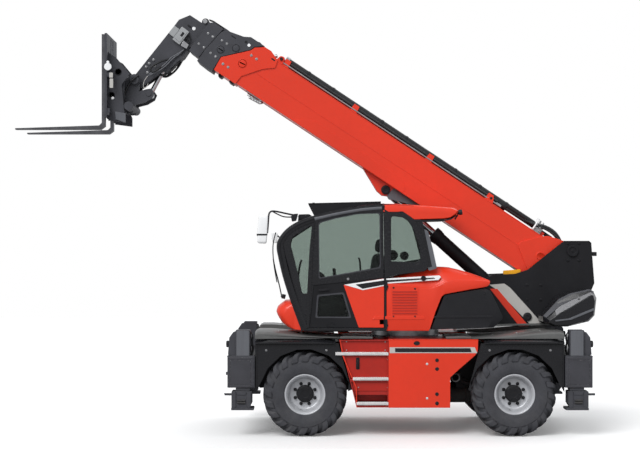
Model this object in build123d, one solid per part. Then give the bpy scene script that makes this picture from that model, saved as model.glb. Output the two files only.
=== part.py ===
from build123d import *
import math
import os

os.makedirs("parts", exist_ok=True)

# Rotating telescopic handler. Lengths in millimetres, angles in degrees. While a piece is drawn, x is the
# distance ahead of the slew axis, y the distance to the machine's left and z the height above the ground.
# Every piece is then moved by FRAME_X, so that the origin lies under the middle of the overall length.

FRAME_X = -1363.0       # the slew axis, from the middle of the overall length
GAP = 5.0               # least clearance between pieces that move past each other
SEAT = 0.3              # clearance of a sliding pad or a face that turns on another
FIT = 0.05              # radial clearance of a running pin

HALF_W = 1210.0         # half the machine's width, over the tyres

# wheels and steering
AXLE_X = 1355.0         # each axle, from the slew axis
TYRE_R = 545.0          # over the lugs' tips, and the height of the axles
TYRE_HALF = 225.0       # half the tyre's width
WHEEL_Y = HALF_W - TYRE_HALF        # wheel's middle plane
CARCASS_R = 512.0       # tread between the lugs
SEAT_R = 238.0          # the tyre's bead on the rim
FLANGE = 20.0           # height of the rim's flange over the bead seat
RIM_WALL = 18.0
RIM_HALF = 188.0        # from the middle plane to a bead
DISC_W = 60.0           # outer face of the rim's disc, outboard of the middle plane
DISC_R = 198.0
HUB_R = 112.0
HUB_OUT = 55.0          # how far the hub stands out of the disc
NUTS = 8
NUT_CIRCLE = 138.0
LUGS = 18               # on each side of a tyre
FACETS = 18             # flat sides that stand for the tyre's round
SPINDLE_R = 80.0
KINGPIN_Y = WHEEL_Y - 135
KINGPIN_R = 35.0
SWEEP_R = math.hypot(TYRE_R, WHEEL_Y + TYRE_HALF - KINGPIN_Y)   # a steered tyre's corners stay in this ball
YOKE_Z = 140.0          # inner face of each yoke arm, from the axle's centre line
YOKE_T = 38.0
YOKE_ROOT = 240.0       # from the kingpin in to the yoke's root

# chassis
DECK_Z = 1258.0         # highest fixed deck
FENDER_Z = 1240.0       # top of the mudguards
SHEET = 36.0            # depth of their folded top
FRAME_HALF = 400.0      # half width of the chassis frame between the wheels
FRAME_LOW = 760.0       # underside of the frame over the axles
FRAME_TOP = 1180.0
BOX_LOW = 377.0         # underside of the boxes between the wheels
BOX_REAR = -881.0
STEP_REAR = 273.0       # where the side box ends and the steps begin
STEP_FRONT = 913.0
TREADS = [430.0, 748.0, 1078.0]

# stabilisers
STAB_X = 2180.0         # middle of each beam housing
STAB_HALF = 175.0
STAB_Z0 = 636.0
STAB_Z1 = 1036.0
STAB_WALL = 15.0
HOUSING_Y = HALF_W - 225            # outer end of the fixed housing
BEAM_REACH = HOUSING_Y - 85         # how far a drawn-in beam lies past the middle
BEAM_H = 300.0
COLUMN_HALF = 92.0
COLUMN_TOP = 1372.0
COLUMN_WALL = 26.0
FOOT_Z = 345.0
FOOT_TOP = 591.0

# slew ring and turret
RING_R = 460.0
RING_BORE = 330.0
RING_TOP = 1364.0
BASE_Z = 1385.0         # turret's base plate
PLATE_IN = 280.0        # inner face of each plate that carries the boom
PLATE_OUT = 320.0
PIVOT_X = -2242.0
PIVOT_Z = 2397.0
PIVOT_R = 73.0
FOOT_PIN_X = -1633.0
FOOT_PIN_Z = 1511.0

# cab and covers
BODY_IN = 352.0         # sides of the cab and of the engine housing next to the boom
BODY_OUT = HALF_W - 40
FLOOR_Z = 1367.0
CAB_WALL = 42.0
GLASS = 6.0
DOOR_T = 40.0
HINGE_R = 8.0
COVER_OUT = BODY_OUT - 270          # outer side of the rear covers
HOOD_LINE = 1752.0      # joint between the engine housing and its hood, at the rear
HOOD_WALL = 30.0
HOOD_HINGE_Z = 2030.0

# boom, in its own axes: s along it from the pivot, h square to it
BOOM_ANGLE = 33.5
BOOM_HALF = 210.0
BOOM_TOP = -50.0
BOOM_LOW = -609.0
BOOM_WALL = 12.0
BOOM_FRONT = 5394.0
SLACK = 12.0            # between one section and the next
SECTION_WALL = 10.0
COLLAR_T = 16.0         # how far the outer section's front plates stand out
EYE_S = 2551.0          # lift cylinder's upper pin
EYE_H = -692.0
LIFT_BARREL_R = 92.0
LIFT_ROD_R = 55.0
LIFT_BARREL_L = 1640.0

# head, tilt linkage and fork carriage
HEAD_S = BOOM_FRONT + 446           # front of the innermost section, where the head is welded on
HEAD_HALF = 140.0
HINGE_S = HEAD_S + 375              # the carriage's hinge on the head
HINGE_H = -1335.0
HINGE_PIN_R = 40.0
EAR_T = 40.0
LEVER_BACK = 192.0      # the tilt cylinder's upper pin, behind and below that hinge
LEVER_DROP = 185.0
TILT_S = HEAD_S + 206               # the tilt cylinder's foot in the head
TILT_H = -438.0
TILT_PIN_R = 25.0
TILT_BARREL_R = 62.0
TILT_BARREL_L = 528.0
TILT_ROD_R = 32.0
CARRIAGE_HALF = 500.0
CARRIAGE_X = 332.0      # the carriage's plate, ahead of the hinge
CARRIAGE_TOP = 596.0    # top of the plate, over the hinge
CARRIAGE_T = 30.0
FORK_Y = 420.0
FORK_W = 120.0
FORK_T = 42.0
FORK_LENGTH = 1200.0
FORK_DROP = 692.0       # underside of the blades, below the hinge


# ---- shapes ----

def side(points, y0, y1, rounding=0.0):
    """Prism of an outline given as (x, z), between two distances to the left."""
    face = make_face(Polyline(*points, close=True))
    if rounding:
        face = fillet(face.vertices(), rounding)
    return Location((0, y1, 0), (90, 0, 0)) * extrude(face, y1 - y0)


def flat(points, z0, z1, rounding=0.0):
    """Prism of an outline given as (x, y), between two heights."""
    face = make_face(Polyline(*points, close=True))
    if rounding:
        face = fillet(face.vertices(), rounding)
    return Location((0, 0, z0)) * extrude(face, z1 - z0)


def front(points, x0, x1, rounding=0.0):
    """Prism of an outline given as (y, z), between two distances ahead."""
    face = make_face(Polyline(*points, close=True))
    if rounding:
        face = fillet(face.vertices(), rounding)
    return Location((x0, 0, 0)) * (Plane.YZ.location * extrude(face, x1 - x0))


def curved_side(points, smooth, y0, y1):
    """Prism of an (x, z) outline whose first points, smooth of them, lie on one curve."""
    edges = [Spline(*points[:smooth])] + list(Polyline(*points[smooth - 1:], points[0]).edges())
    return Location((0, y1, 0), (90, 0, 0)) * extrude(make_face(edges), y1 - y0)


def block(x0, x1, y0, y1, z0, z1):
    centre = ((x0 + x1) / 2, (y0 + y1) / 2, (z0 + z1) / 2)
    return Location(centre) * Box(x1 - x0, y1 - y0, z1 - z0)


def bar(start, end, radius):
    """Round bar between two points."""
    line = Vector(*end) - Vector(*start)
    return Part(Solid.make_cylinder(radius, line.length, Plane(origin=start, z_dir=line)).wrapped)


def pipe(start, end, radius, bore):
    return bar(start, end, radius) - bar(start, end, bore)


def across(x, z, radius, y0, y1):
    """Round bar across the machine."""
    return bar((x, y0, z), (x, y1, z), radius)


def joined(shapes):
    """All the shapes as one."""
    return shapes[0] + shapes[1:]


def mirrored(shape):
    """The same piece on the other side of the machine."""
    return mirror(shape, Plane.XZ)


def both(shape):
    return shape + mirrored(shape)


def both_ends(shape):
    return shape + mirror(shape, Plane.YZ)


def turned(profile):
    """Solid of revolution about the cross axis, of an outline given as (distance outboard, radius)."""
    face = make_face(Polyline(*profile, close=True))
    return Location((0, 0, 0), (0, 0, 90)) * revolve(face, Axis.X, 360)


def inset(points, amount):
    """Outline moved inward by an even amount."""
    following = points[1:] + points[:1]
    hand = math.copysign(1, sum(a[0] * b[1] - b[0] * a[1] for a, b in zip(points, following)))
    lines = []
    for a, b in zip(points, following):
        length = math.hypot(b[0] - a[0], b[1] - a[1])
        normal = (-hand * (b[1] - a[1]) / length, hand * (b[0] - a[0]) / length)
        lines.append((normal, normal[0] * a[0] + normal[1] * a[1] + amount))
    moved = []
    for (n, c), (m, d) in zip(lines[-1:] + lines[:-1], lines):
        cross = n[0] * m[1] - n[1] * m[0]
        moved.append(((c * m[1] - d * n[1]) / cross, (n[0] * d - m[0] * c) / cross))
    return moved


def shifted(points, dx, dz):
    return [(x + dx, z + dz) for x, z in points]


def along(p, q, distance):
    """Point of the middle plane on the line from p towards q."""
    length = math.hypot(q[0] - p[0], q[1] - p[1])
    return (p[0] + (q[0] - p[0]) * distance / length, 0, p[1] + (q[1] - p[1]) * distance / length)


def keep(name, shape, place=None):
    """Write one piece in the frame of the whole."""
    if place is not None:
        shape = place * shape
    solids = [Location((FRAME_X, 0, 0)) * solid for solid in shape.solids()]
    export_step(Compound(children=solids), f"parts/{name}.step")


BOOM = Location((PIVOT_X, 0, PIVOT_Z), (0, -BOOM_ANGLE, 0))
CORNERS = [
    # name, end of the machine, side of the machine
    ("front_left", 1, 1),
    ("front_right", 1, -1),
    ("rear_left", -1, 1),
    ("rear_right", -1, -1),
]


def boom_point(s, h):
    """A point of the boom's axes in the machine's, at rest."""
    a = math.radians(BOOM_ANGLE)
    return PIVOT_X + s * math.cos(a) - h * math.sin(a), PIVOT_Z + s * math.sin(a) + h * math.cos(a)


# ---- tyres and rims ----

def faceted(w, radius):
    """Many-sided outline square to the axle, at a distance outboard."""
    step = 2 * math.pi / FACETS
    points = [(radius * math.cos(n * step), w, radius * math.sin(n * step)) for n in range(FACETS)]
    return Wire(Polyline(*points, close=True).edges())


def tyre_shape():
    shoulder = (TYRE_R + CARCASS_R) / 2 - 55
    corner = math.cos(math.pi / FACETS)
    half = [
        # distance outboard, radius of the carcass
        (RIM_HALF, (SEAT_R + FLANGE + 2) / corner), (TYRE_HALF - 4, SEAT_R + 125),
        (TYRE_HALF - 6, shoulder), (TYRE_HALF - 75, CARCASS_R),
    ]
    rings = [(-w, r) for w, r in half] + half[::-1]
    carcass = Solid.make_loft([faceted(w, r) for w, r in rings], ruled=True)
    carcass = Part(carcass.wrapped) - bar((0, -TYRE_HALF, 0), (0, TYRE_HALF, 0), SEAT_R)
    pitch = 360 / LUGS
    rows = [
        # distance outboard, foot, tip, and how far round it starts and ends
        (8, CARCASS_R * corner - 8, TYRE_R, -30, 30), (TYRE_HALF, shoulder - 60, TYRE_R - 36, 62, 126),
    ]
    lugs = []
    for hand in (1, -1):
        ends = []
        for w, low, high, t0, t1 in rows:
            corners = [(t0, hand * w, low), (t1, hand * w, low), (t1, hand * w, high), (t0, hand * w, high)]
            ends.append(Wire(Polyline(*corners, close=True).edges()))
        lug = Part(Solid.make_loft(ends, ruled=True).wrapped)
        start = pitch / 2 if hand < 0 else 0
        lugs += [Location((0, 0, 0), (0, start + pitch * n, 0)) * lug for n in range(LUGS)]
    return carcass + lugs


def rim_shape():
    seat_in = SEAT_R - RIM_WALL
    rim = turned([
        (-RIM_HALF - 12, SEAT_R + FLANGE), (-RIM_HALF, SEAT_R + FLANGE), (-RIM_HALF, SEAT_R),
        (RIM_HALF, SEAT_R),
        (RIM_HALF, SEAT_R + FLANGE), (RIM_HALF + 12, SEAT_R + FLANGE), (RIM_HALF + 12, seat_in),
        (RIM_HALF - 60, seat_in - 12), (DISC_W, DISC_R), (DISC_W, SPINDLE_R + FIT),
        (DISC_W - 18, SPINDLE_R + FIT),
        (DISC_W - 18, DISC_R - 22), (DISC_W - 45, seat_in - 12), (-RIM_HALF - 12, seat_in),
    ])
    rim += bar((0, DISC_W, 0), (0, DISC_W + HUB_OUT, 0), HUB_R)
    for n in range(NUTS):
        a = math.radians(360 / NUTS * (n + 0.5))
        x, z = NUT_CIRCLE * math.cos(a), NUT_CIRCLE * math.sin(a)
        nut = extrude(RegularPolygon(24, 6), 30)
        rim += Location((x, DISC_W + 30, z), (90, 0, 0)) * nut
    return rim


def knuckle_shape():
    reach = WHEEL_Y - KINGPIN_Y + DISC_W
    body = bar((0, 0, -YOKE_Z + 10), (0, 0, YOKE_Z - 10), 105)
    body += bar((0, 0, 0), (0, reach - 19, 0), 120)
    body += bar((0, 0, 0), (0, reach - GAP, 0), SPINDLE_R)
    pin_half = YOKE_Z + YOKE_T + 14
    return body + bar((0, 0, -pin_half), (0, 0, pin_half), KINGPIN_R)


tyre, rim, knuckle = tyre_shape(), rim_shape(), knuckle_shape()
for name, end, hand in CORNERS:
    facing = (0, 0, 0 if hand > 0 else 180)
    hub = Location((end * AXLE_X, hand * WHEEL_Y, TYRE_R), facing)
    pivot = Location((end * AXLE_X, hand * KINGPIN_Y, TYRE_R), facing)
    keep(f"tyre_{name}", tyre, hub)
    keep(f"rim_{name}", rim, hub)
    keep(f"knuckle_{name}", knuckle, pivot)


# ---- axles and driveline ----

def axle_shape():
    root = KINGPIN_Y - YOKE_ROOT
    yoke = block(-70, 70, root, KINGPIN_Y + 60, YOKE_Z, YOKE_Z + YOKE_T)
    yoke += block(-70, 70, root, KINGPIN_Y + 60, -YOKE_Z - YOKE_T, -YOKE_Z)
    yoke += block(-70, 70, root, root + 50, -YOKE_Z, YOKE_Z)
    yoke -= bar((0, KINGPIN_Y, -300), (0, KINGPIN_Y, 300), KINGPIN_R + FIT)
    beam = both(yoke) + bar((0, -root - 10, 0), (0, root + 10, 0), 105) + bar((0, -170, 0), (0, 170, 0), 190)
    cradle = block(-130, 130, -110, 110, 150, FRAME_LOW - TYRE_R)
    return beam + cradle


axle = axle_shape()
keep("axles", Location((AXLE_X, 0, TYRE_R)) * axle + Location((-AXLE_X, 0, TYRE_R)) * axle)

SHAFT_END = AXLE_X - 190
gearbox = block(-190, 190, -160, 160, TYRE_R - 170, 690)
gearbox += bar((190, 0, TYRE_R), (SHAFT_END, 0, TYRE_R), 48)
gearbox += bar((-520, 0, TYRE_R + 25), (-190, 0, TYRE_R + 25), 88)
gearbox += bar((-SHAFT_END, 0, TYRE_R), (-520, 0, TYRE_R), 55)
keep("driveline", gearbox)

# ---- chassis ----

STAB_X0, STAB_X1 = STAB_X - STAB_HALF, STAB_X + STAB_HALF
frame = side([
    (-STAB_X0, FRAME_LOW), (-760, FRAME_LOW), (-640, 690), (640, 690), (760, FRAME_LOW), (STAB_X0, FRAME_LOW),
    (STAB_X0, FRAME_TOP), (-STAB_X0, FRAME_TOP),
], -FRAME_HALF, FRAME_HALF)
frame -= block(-STAB_X0 + 30, STAB_X0 - 30, -FRAME_HALF + 30, FRAME_HALF - 30, FRAME_LOW + 40, FRAME_TOP - 30)
frame += block(-640, 640, -RING_R, RING_R, FRAME_TOP, DECK_Z - 18)
frame += bar((0, 0, DECK_Z - 28), (0, 0, DECK_Z), RING_R - 2)
keep("chassis_frame", frame)
keep("slew_ring", pipe((0, 0, DECK_Z), (0, 0, RING_TOP), RING_R, RING_BORE))


SKIRT_Y0, SKIRT_Y1 = HALF_W - 60, HALF_W - 40
ARCH_R = math.sqrt((SWEEP_R + GAP) ** 2 - (SKIRT_Y0 - KINGPIN_Y) ** 2)
wheel_room = Part(Solid.make_sphere(SWEEP_R + GAP, angle1=-90).wrapped)
wheel_room = both_ends(both(Location((AXLE_X, KINGPIN_Y, TYRE_R)) * wheel_room))


def arch_point(turn):
    """Point of the skirt's edge round a tyre, by the angle from straight ahead."""
    radius = ARCH_R + 2
    return AXLE_X + radius * math.cos(math.radians(turn)), TYRE_R + radius * math.sin(math.radians(turn))


FENDER_X0, FENDER_X1 = 960.0, STAB_X0 - 7
skirt_outline = [
    (FENDER_X1, TYRE_R + 30), (FENDER_X1, FENDER_Z - SHEET), (STEP_FRONT + 8, FENDER_Z - SHEET),
    (756, TYRE_R + 60),
    (800, TYRE_R + 40),
]
skirt_outline += [arch_point(turn) for turn in (165, 145, 122, 98, 80, 58, 35, 16)]
skirt = side(skirt_outline, SKIRT_Y0, SKIRT_Y1)
top = front([
    (FRAME_HALF - 40, FENDER_Z - SHEET), (HALF_W - 12, FENDER_Z - SHEET),
    (HALF_W - 12, FENDER_Z - SHEET + 12),
    (HALF_W - 90, FENDER_Z), (FRAME_HALF - 40, FENDER_Z),
], FENDER_X0, FENDER_X1)
top += block(FENDER_X0, FENDER_X1, FRAME_HALF - 40, FRAME_HALF, FRAME_TOP, FENDER_Z - SHEET)
keep("mudguards", both_ends(both(top + skirt)))

# ---- boxes and steps between the wheels ----

SIDE_BOX = [
    (STEP_REAR, DECK_Z), (BOX_REAR, DECK_Z), (BOX_REAR + 8, 1103), (BOX_REAR + 43, 1051), (-519, 774),
    (-519, BOX_LOW), (STEP_REAR, BOX_LOW),
]
TANK = [
    (STEP_FRONT, DECK_Z), (BOX_REAR, DECK_Z), (BOX_REAR + 8, 1103), (BOX_REAR + 43, 1051), (-519, 774),
    (-519, BOX_LOW), (690, BOX_LOW), (735, TYRE_R),
]
left_box = side(SIDE_BOX, RING_R, HALF_W)
for x in (-300, 20):
    left_box -= block(x, x + 4, HALF_W - 4, HALF_W + 1, BOX_LOW - 1, DECK_Z - 190)
right_box = mirrored(side(TANK, RING_R, HALF_W))
keep("side_boxes", left_box + right_box - wheel_room)

STEP_SIDE = [
    (STEP_REAR + 3, DECK_Z - 6), (STEP_FRONT - 8, DECK_Z - 6), (690, BOX_LOW + 3),
    (STEP_REAR + 3, BOX_LOW + 3),
]
STEP_DEPTH = 240.0
RISER_LIFT, RISER_TOP = 110.0, 286.0        # each riser's lower and upper edge, over its tread
cheek = side(STEP_SIDE, RING_R, HALF_W - 10)
inner = side(inset(STEP_SIDE, 12), HALF_W - STEP_DEPTH, HALF_W)
steps = cheek - inner
board = side(STEP_SIDE, HALF_W - STEP_DEPTH - 20, HALF_W - 12)
for tread in TREADS:
    steps += board & block(STEP_REAR, STEP_FRONT, 0, HALF_W, tread - 34, tread)
    riser = side(STEP_SIDE, HALF_W - STEP_DEPTH, HALF_W - 46)
    riser_top = min(tread + RISER_TOP, DECK_Z - 8)
    steps += riser & block(STEP_REAR, STEP_FRONT, 0, HALF_W, tread + RISER_LIFT, riser_top)
keep("steps", steps - wheel_room)

EXHAUST_X, EXHAUST_Z = -593.0, 761.0
EXHAUST_Y = HALF_W - 310            # outer end of the silencer
exhaust = pipe((EXHAUST_X, EXHAUST_Y, EXHAUST_Z), (EXHAUST_X, HALF_W - 60, EXHAUST_Z), 50, 44)
exhaust += block(EXHAUST_X - 87, EXHAUST_X + 13, FRAME_HALF, EXHAUST_Y, EXHAUST_Z - 61, EXHAUST_Z + 39)
keep("exhaust", exhaust)

# ---- stabilisers ----

BEAM_Z = (STAB_Z0 + STAB_Z1) / 2
LANE = STAB_HALF - STAB_WALL - 5
BEAM_LOW, BEAM_HIGH = BEAM_Z - BEAM_H / 2, BEAM_Z + BEAM_H / 2


def housing_shape():
    hull = block(STAB_X0, STAB_X1, -HOUSING_Y, HOUSING_Y, STAB_Z0, STAB_Z1)
    for x0 in (STAB_X0 + STAB_WALL, STAB_X + 5):
        hull -= block(x0, x0 + LANE, -HOUSING_Y - 1, HOUSING_Y + 1, STAB_Z0 + 40, STAB_Z1 - 40)
        hull += both(block(x0, x0 + LANE, HOUSING_Y - 80, HOUSING_Y, STAB_Z0 + 40, BEAM_LOW - SEAT))
    return hull


COLUMN_X = STAB_X - 22
COLUMN_Y0, COLUMN_Y1 = HOUSING_Y + 15, HALF_W - 18


def beam_shape(x0):
    beam = block(x0 + GAP, x0 + LANE - GAP, -BEAM_REACH, HOUSING_Y + 30, BEAM_LOW, BEAM_HIGH)
    beam += block(STAB_X0, STAB_X1, HOUSING_Y + GAP, HALF_W, STAB_Z0, STAB_Z1)
    beam += block(COLUMN_X - COLUMN_HALF, COLUMN_X + COLUMN_HALF, COLUMN_Y0, COLUMN_Y1,
                  FOOT_TOP + GAP, COLUMN_TOP)
    beam -= block(COLUMN_X - COLUMN_HALF + COLUMN_WALL, COLUMN_X + COLUMN_HALF - COLUMN_WALL,
                  COLUMN_Y0 + COLUMN_WALL, COLUMN_Y1 - COLUMN_WALL, STAB_Z0 - 100, COLUMN_TOP - 20)
    loop = side([
        (STAB_X + 72, STAB_Z1 - 6), (STAB_X + 172, STAB_Z1 + 24), (STAB_X + 155, COLUMN_TOP - 92),
        (STAB_X + 105, COLUMN_TOP - 23), (STAB_X + 70, COLUMN_TOP - 16),
    ], COLUMN_Y0 + 40, COLUMN_Y1 - 30)
    return beam + loop


def leg_shape():
    inside = COLUMN_HALF - COLUMN_WALL
    y0, y1 = COLUMN_Y0 + COLUMN_WALL, COLUMN_Y1 - COLUMN_WALL
    leg = block(COLUMN_X - inside + GAP, COLUMN_X + inside - GAP, y0 + GAP, y1 - GAP, FOOT_Z + 20,
                COLUMN_TOP - 30)
    leg += block(COLUMN_X - inside + SEAT, COLUMN_X + inside - SEAT, y0 + 20, y1 - 20,
                 COLUMN_TOP - 130, COLUMN_TOP - 30)
    leg += side([
        (COLUMN_X - 118, FOOT_TOP), (COLUMN_X - 118, FOOT_Z + 90), (COLUMN_X - 80, FOOT_Z + 30),
        (COLUMN_X + 100, FOOT_Z + 30), (COLUMN_X + 140, FOOT_Z + 90), (COLUMN_X + 140, FOOT_TOP),
    ], HOUSING_Y + 10, HALF_W - 12)
    leg += block(COLUMN_X + 100, COLUMN_X + 240, HOUSING_Y + 60, HALF_W - 60, FOOT_TOP - 60, FOOT_TOP - 40)
    leg += block(COLUMN_X - 140, COLUMN_X + 150, HOUSING_Y - 40, HALF_W - 2, FOOT_Z, FOOT_Z + 30)
    return leg


keep("stabiliser_housings", both_ends(housing_shape()))
leg = leg_shape()
for name, end, hand in CORNERS:
    lane_x = STAB_X0 + STAB_WALL if end == hand else STAB_X + 5
    for kind, shape in (("beam", beam_shape(lane_x)), ("leg", leg)):
        if hand < 0:
            shape = mirrored(shape)
        if end < 0:
            shape = mirror(shape, Plane.YZ)
        keep(f"stabiliser_{kind}_{name}", shape)

# ---- turret ----

PLATE_SIDE = [
    # the top and rear follow the boom's pivot, the rest the base
    (PIVOT_X + 111, PIVOT_Z + 136), (PIVOT_X - 224, PIVOT_Z + 136), (PIVOT_X - 254, PIVOT_Z + 109),
    (PIVOT_X - 296, PIVOT_Z - 433), (PIVOT_X - 254, PIVOT_Z - 533), (PIVOT_X - 213, 1530),
    (PIVOT_X - 136, 1463),
    (PIVOT_X + 150, BASE_Z + 5), (-RING_R, BASE_Z), (RING_R, BASE_Z), (RING_R, 1470), (-300, 1500),
    (PIVOT_X + 1088, PIVOT_Z - 322), (PIVOT_X + 775, PIVOT_Z - 310), (PIVOT_X + 602, PIVOT_Z - 255),
]
turret = both(side(PLATE_SIDE, PLATE_IN, PLATE_OUT))
turret += bar((0, 0, RING_TOP), (0, 0, BASE_Z), RING_R)
turret -= both(block(-RING_R, RING_R, BODY_IN, RING_R + 10, RING_TOP - 1, BASE_Z + 1))
turret += block(PIVOT_X - 253, PIVOT_X - 208, -PLATE_IN, PLATE_IN, 1530, 1740)
turret += both(across(PIVOT_X, PIVOT_Z, PIVOT_R, PLATE_OUT, PLATE_OUT + 16))
turret += both(across(FOOT_PIN_X, FOOT_PIN_Z, 54, PLATE_OUT, PLATE_OUT + 14))
turret += both(block(-RING_R + 60, 1380, PLATE_IN + 5, BODY_IN, BASE_Z, BASE_Z + 65))
turret += block(PIVOT_X - 318, PIVOT_X - 225, PLATE_IN, PLATE_OUT, PIVOT_Z - 60, PIVOT_Z - 14)
keep("turret_frame", turret)

REAR_COVER = [
    (-1772, 1507), (-1949, 1717), (-2157, 1822), (-2445, 1882), (-2494, 1828), (-2455, 1530), (-2378, 1463),
    (-2092, 1389), (-1849, 1403), (-1772, 1463),
]
cover = side(REAR_COVER, PLATE_OUT, COVER_OUT, 28)
cover &= flat([
    (-2520, PLATE_OUT), (-2520, COVER_OUT - 90), (-2330, COVER_OUT), (-1700, COVER_OUT), (-1700, PLATE_OUT),
], 1300, 2000, 60)
cover &= front([
    (PLATE_OUT, 1300), (COVER_OUT, 1300), (COVER_OUT, 1750), (COVER_OUT - 170, 1890), (PLATE_OUT, 1910),
], -2600, -1700, 40)
keep("rear_covers", both(cover))

BODY_LINE = [
    # the left body's outline, its top first, with the pod let into its lower rear corner
    (299, 2047), (0, 2124), (-280, 2186), (-500, 2192), (-740, 2133), (-1041, 2016), (-1008, 1939),
    (-790, 1902), (-449, 1840), (-409, 1803), (-252, FLOOR_Z), (299, FLOOR_Z),
]
shoulder = front([
    (BODY_IN, FLOOR_Z), (BODY_OUT, FLOOR_Z), (BODY_OUT, 1975), (BODY_OUT - 30, 2045), (BODY_OUT - 75, 2120),
    (BODY_OUT - 190, 2195), (BODY_IN, 2200),
], -1100, 300, 20)
left_body = curved_side(BODY_LINE, 6, BODY_IN, BODY_OUT) & shoulder
louvre_top, louvre_step = 1884.0, 35.0
for n in range(9):
    z = louvre_top - n * louvre_step
    left_body -= block(-96, 224, BODY_OUT - 18, BODY_OUT + 1, z - 14, z)
POD = [
    (-455, 1832), (-966, 1926), (-1048, 1884), (-1204, 1531), (-1089, 1408), (-300, 1381),
    (-262, 1381), (-414, 1798),
]
pod = side(POD, BODY_IN, BODY_OUT - 30, 12)
pod &= flat([
    (-1220, BODY_IN), (-1220, BODY_OUT - 160), (-1020, BODY_OUT - 30), (-200, BODY_OUT - 30), (-200, BODY_IN),
], 1300, 2000, 60)
keep("left_pod", pod)

HOUSING = [
    (1500, FLOOR_Z), (1560, 1400), (1600, 1500), (1560, 1600), (1400, 1700), (-900, 1760),
    (-1048, 1740), (-1204, 1531),
    (-1089, 1408), (-1000, FLOOR_Z),
]
housing = mirrored(side(HOUSING, BODY_IN, BODY_OUT))
housing -= mirrored(side([(1380, 1400), (1380, 1760), (-900, 1820), (-900, 1400)],
                         BODY_IN + HOOD_WALL, BODY_OUT - HOOD_WALL))
for n in range(9):
    x = -560 + n * 70
    housing -= block(x, x + 34, -BODY_OUT - 1, -BODY_OUT + 12, 1470, 1650)
HOOD = [(1372, 1707), (1300, 1830), (-560, 2010), (-820, 1960), (-892, 1766)]
hood = mirrored(side(HOOD, BODY_IN + 4, BODY_OUT - 4))
hood &= mirrored(front([
    (BODY_IN, 1600), (BODY_OUT, 1600), (BODY_OUT, 1830), (BODY_OUT - 130, 1960),
    (BODY_OUT - 330, 2020), (BODY_IN, 2020),
], -1000, 1400))
hood -= mirrored(side([(1342, 1690), (1278, 1796), (-556, 1975), (-796, 1930), (-860, 1750)],
                      BODY_IN + 34, BODY_OUT - 164))
hood -= mirrored(side([(1342, 1690), (1300, 1740), (-800, 1800), (-860, 1750)], BODY_IN + 34, BODY_OUT - 34))
HOOD_HINGE_Y = -BODY_IN - 14
for x in (-430, 200):
    housing += block(x, x + 28, -BODY_IN, -BODY_IN + 6, 1600, HOOD_HINGE_Z + 12)
    housing += block(x, x + 28, HOOD_HINGE_Y - 10, -BODY_IN + 6, HOOD_HINGE_Z - 18, HOOD_HINGE_Z + 12)
    housing += bar((x + 28, HOOD_HINGE_Y, HOOD_HINGE_Z), (x + 68, HOOD_HINGE_Y, HOOD_HINGE_Z), 9)
    ear = block(x + 30, x + 66, HOOD_HINGE_Y - 12, HOOD_HINGE_Y + 12, 1915, HOOD_HINGE_Z + 14)
    hood += ear - bar((x, HOOD_HINGE_Y, HOOD_HINGE_Z), (x + 100, HOOD_HINGE_Y, HOOD_HINGE_Z), 9 + FIT)
keep("engine_housing", housing)
keep("hood", hood)
ENGINE_REAR, ENGINE_FRONT = -700, 500
ENGINE_OUT, ENGINE_IN = BODY_OUT - 130, 480
ENGINE_LOW, ENGINE_TOP = 1400, 1640
keep("engine", block(ENGINE_REAR, ENGINE_FRONT, -ENGINE_OUT, -ENGINE_IN, ENGINE_LOW, ENGINE_TOP))

# ---- cab ----

CAB_SIDE = [
    # from the front of the floor up the windscreen and back along the roof, which is one curve, and down again
    (1400, FLOOR_Z), (1485, 1595), (1572, 1840), (1648, 2090), (1700, 2320), (1719, 2440), (1702, 2540),
    (1600, 2674), (1446, 2776), (1218, 2859), (971, 2923), (667, 2979), (354, 3010), (-50, 2985),
    (-169, 2763),
    (-287, 2199), (305, 2060), (305, FLOOR_Z),
]
CAB_CURVE = 13          # how many of its points lie on that curve
CAB_PLAN = [
    (1800, BODY_IN), (1800, BODY_OUT - 110), (1640, BODY_OUT - 36), (1420, BODY_OUT),
    (-400, BODY_OUT), (-400, BODY_IN),
]
DOOR_HOLE = [
    (1298, 1405), (1218, 2200), (1200, 2820), (971, 2880), (667, 2935), (340, 2950), (330, 2125), (330, 1405),
]
FRONT_QUARTER = [
    (1606, 2528), (1468, 2650), (1240, 2742), (1276, 2309), (1310, 1581), (1342, 1581), (1468, 1964),
    (1580, 2372),
]
REAR_QUARTER = [(262, 2900), (262, 2270), (-75, 2250), (-158, 2300), (-120, 2570), (20, 2850)]
INNER_WINDOW = [
    (1560, 2450), (1530, 2560), (1180, 2790), (667, 2900), (-20, 2900), (-110, 2600), (-190, 2290),
    (330, 2200),
    (1200, 1800), (1400, 1800),
]
cab = curved_side(CAB_SIDE, CAB_CURVE, BODY_IN, BODY_OUT) & flat(CAB_PLAN, FLOOR_Z, 3100)
room = curved_side(inset(CAB_SIDE, CAB_WALL), CAB_CURVE, BODY_IN + CAB_WALL, BODY_OUT - CAB_WALL)
room &= flat(inset(CAB_PLAN, CAB_WALL), FLOOR_Z, 3100)
shell = cab - room
holes = side(DOOR_HOLE, BODY_OUT - CAB_WALL - 5, BODY_OUT + 5)
holes += side(FRONT_QUARTER, BODY_OUT - 122, BODY_OUT + 5)
holes += side(REAR_QUARTER, BODY_OUT - CAB_WALL - 5, BODY_OUT + 5)
holes += side(INNER_WINDOW, BODY_IN - 5, BODY_IN + CAB_WALL + 5)
holes += block(1290, 1800, BODY_IN + 70, BODY_OUT - 125, 1760, 2745)
holes += block(-400, 60, BODY_IN + 90, BODY_OUT - 90, 2300, 2730)
holes += block(560, 1150, BODY_IN + 90, BODY_OUT - 90, 2800, 3100)
shell -= holes
HINGE_X, HINGE_Y = 330.0, BODY_OUT + HINGE_R
door_leaves = []
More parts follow.
